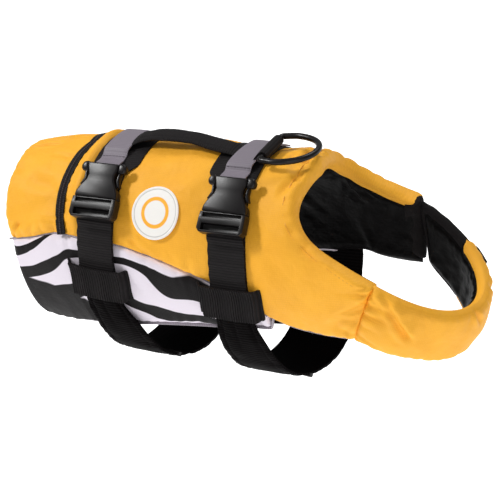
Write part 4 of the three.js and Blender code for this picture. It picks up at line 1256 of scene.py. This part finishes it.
class JACKET_OT_leash_ring(bpy.types.Operator):
    """Bends the D-shaped leash ring and folds its webbing tab round it"""

    bl_idname = "jacket.leash_ring"
    bl_label = "Leash ring and tab"

    def execute(self, context):
        wire, count = context.scene.jacket_sizes.ring_wire * 1000, 112
        ring = add(
            bpy.ops.mesh.primitive_torus_add, major_segments=count, minor_segments=20, major_radius=1, minor_radius=0.1
        )
        co = np.array([v.co for v in ring.data.vertices])
        off = (np.hypot(co[:, 0], co[:, 1]) - 1) / 0.1 * wire
        index = np.rint((np.arctan2(co[:, 1], co[:, 0]) / (2 * math.pi)) % 1 * count).astype(int) % count
        knots = [(0, k) for k in np.linspace(-25, 25, 9)]
        knots += [(3 + 45 * math.sin(a) ** 0.75, 28 * math.cos(a)) for a in np.linspace(0, math.pi, 19)[1:-1]]
        knots = np.array(knots + knots[:1], float)
        length = np.concatenate([[0], np.cumsum(np.linalg.norm(np.diff(knots, axis=0), axis=1))])
        at = np.arange(count) / count * length[-1]
        line = np.stack([np.interp(at, length, knots[:, k]) for k in (0, 1)], -1)
        for _ in range(3):
            line = (np.roll(line, 1, 0) + 2 * line + np.roll(line, -1, 0)) / 4
        ahead = unit(np.roll(line, -1, 0) - np.roll(line, 1, 0))
        out = np.stack([ahead[:, 1], -ahead[:, 0]], -1)
        flat, high = line[index] + out[index] * off[:, None], co[:, 2] / 0.1 * wire
        tilt = math.radians(2)
        along = flat[:, 0] * math.cos(tilt) - high * math.sin(tilt)
        points = np.stack([along, flat[:, 1], flat[:, 0] * math.sin(tilt) + high * math.cos(tilt)], -1)
        ring.data.vertices.foreach_set("co", ((points + RING_BAR) / 1000).ravel())
        ring.data.update()
        face_outwards()
        bpy.ops.object.shade_smooth()
        settle(ring, "leash_ring_moulding", finish("moulded acetal, black"), "leash_ring")

        middle = wire + 0.5 + 0.9
        turns = np.linspace(math.radians(100), math.radians(-100), 40)
        arc = middle * np.stack([np.cos(turns), np.sin(turns)], -1)
        steps = np.linspace(0, 1, 16)

        def tail(low, high):
            return np.stack([mix(-17, arc[0, 0], steps), mix(low, high, smooth(steps, 0.35, 1))], -1)[:-1]

        path = np.concatenate([tail(-3.9, arc[0, 1]), arc, tail(-5.9, arc[-1, 1])[::-1]])
        spine = np.stack([path[:, 0], 0 * path[:, 0], path[:, 1]], -1) + RING_BAR
        ahead = np.gradient(spine, axis=0)
        normal = unit(np.stack([-ahead[:, 2], 0 * ahead[:, 0], ahead[:, 0]], -1))
        piece = ribbon(spine, normal, 18, lambda w: 0.85 - 0.3 * np.abs(w) ** 8, lambda w: -0.85, 10)
        follow_crest(piece, lambda at: 1 - smooth(at, 54, 61))
        settle(piece, "ring_tab_webbing", finish("nylon webbing, black"), "ring_tab")
        return {"FINISHED"}


class JACKET_OT_stage(bpy.types.Operator):
    """Sets the floor, the soft studio light and the camera"""

    bl_idname = "jacket.stage"
    bl_label = "Studio"

    def execute(self, context):
        scene = context.scene
        floor = add(bpy.ops.mesh.primitive_plane_add, size=14, location=(0, 0, FLOOR_Z))
        floor.name = "floor"
        floor.data.transform(floor.matrix_world)
        floor.matrix_world = Matrix.Identity(4)
        painted = bpy.data.materials.new("matt painted floor, white")
        painted.use_nodes = True
        shader = painted.node_tree.nodes["Principled BSDF"].inputs
        shader["Base Color"].default_value = rgba(scene.jacket_colours.floor)
        shader["Roughness"].default_value = 0.9
        shader["Emission Color"].default_value = (1, 1, 1, 1)
        shader["Emission Strength"].default_value = 0.7
        floor.data.materials.append(painted)

        azimuth, elevation, roll = (math.radians(CAMERA[key]) for key in ("azimuth", "elevation", "roll"))
        right = Vector((math.cos(azimuth), math.sin(azimuth), 0))
        back = Vector((math.sin(azimuth), -math.cos(azimuth), 0)) * math.cos(elevation)
        back.z = math.sin(elevation)
        up = back.cross(right)
        rolled_right = math.cos(roll) * right - math.sin(roll) * up
        rolled_up = math.sin(roll) * right + math.cos(roll) * up
        place = back * CAMERA["distance"]
        z = (place - rolled_right * CAMERA["aim_right"] + rolled_up * CAMERA["aim_down"]).normalized()
        x = (rolled_right - z * rolled_right.dot(z)).normalized()
        data = bpy.data.cameras.new("camera")
        data.sensor_width = 36
        data.lens = CAMERA["lens_pixels"] * data.sensor_width / CAMERA["picture_pixels"]
        scene.camera = bpy.data.objects.new("camera", data)
        scene.collection.objects.link(scene.camera)
        scene.camera.matrix_world = Matrix((*zip(x, z.cross(x), z, place), (0, 0, 0, 1)))

        for name, (spot, size, energy) in LAMPS.items():
            light = bpy.data.lights.new(name, "AREA")
            light.shape, light.size, light.energy = "DISK", size, energy
            lit = bpy.data.objects.new(name, light)
            scene.collection.objects.link(lit)
            turned = (Vector(spot) - Vector(LIT_AT)).to_track_quat("Z", "Y").to_matrix().to_4x4()
            lit.matrix_world = Matrix.Translation(spot) @ turned
        scene.world = bpy.data.worlds.new("studio")
        scene.world.use_nodes = True
        background = scene.world.node_tree.nodes["Background"].inputs
        background["Color"].default_value = (1, 1, 1, 1)
        background["Strength"].default_value = 0.27
        scene.view_settings.view_transform = "Standard"
        return {"FINISHED"}


class JACKET_PT_panel(bpy.types.Panel):
    """Lists the sizes, the colours and the steps in the sidebar"""

    bl_idname = "JACKET_PT_panel"
    bl_label = "Dog life jacket"
    bl_space_type = "VIEW_3D"
    bl_region_type = "UI"
    bl_category = "Life jacket"

    def draw(self, context):
        for group in (context.scene.jacket_sizes, context.scene.jacket_colours):
            for name in group.__annotations__:
                self.layout.prop(group, name)
        for step in STEPS:
            self.layout.operator(step.bl_idname)


STEPS = (
    JACKET_OT_shell, JACKET_OT_lower_panels, JACKET_OT_linings, JACKET_OT_chest, JACKET_OT_trim, JACKET_OT_belts,
    JACKET_OT_buckles, JACKET_OT_handle, JACKET_OT_leash_ring, JACKET_OT_stage,
)
CLASSES = (JacketSizes, JacketColours) + STEPS + (JACKET_PT_panel,)


def register():
    for made in CLASSES:
        bpy.utils.register_class(made)
    bpy.types.Scene.jacket_sizes = PointerProperty(type=JacketSizes)
    bpy.types.Scene.jacket_colours = PointerProperty(type=JacketColours)


def unregister():
    del bpy.types.Scene.jacket_colours
    del bpy.types.Scene.jacket_sizes
    for made in reversed(CLASSES):
        bpy.utils.unregister_class(made)


def main():
    register()
    for step in STEPS:
        getattr(bpy.ops.jacket, step.bl_idname.split(".")[1])()


if __name__ == "__main__":
    main()
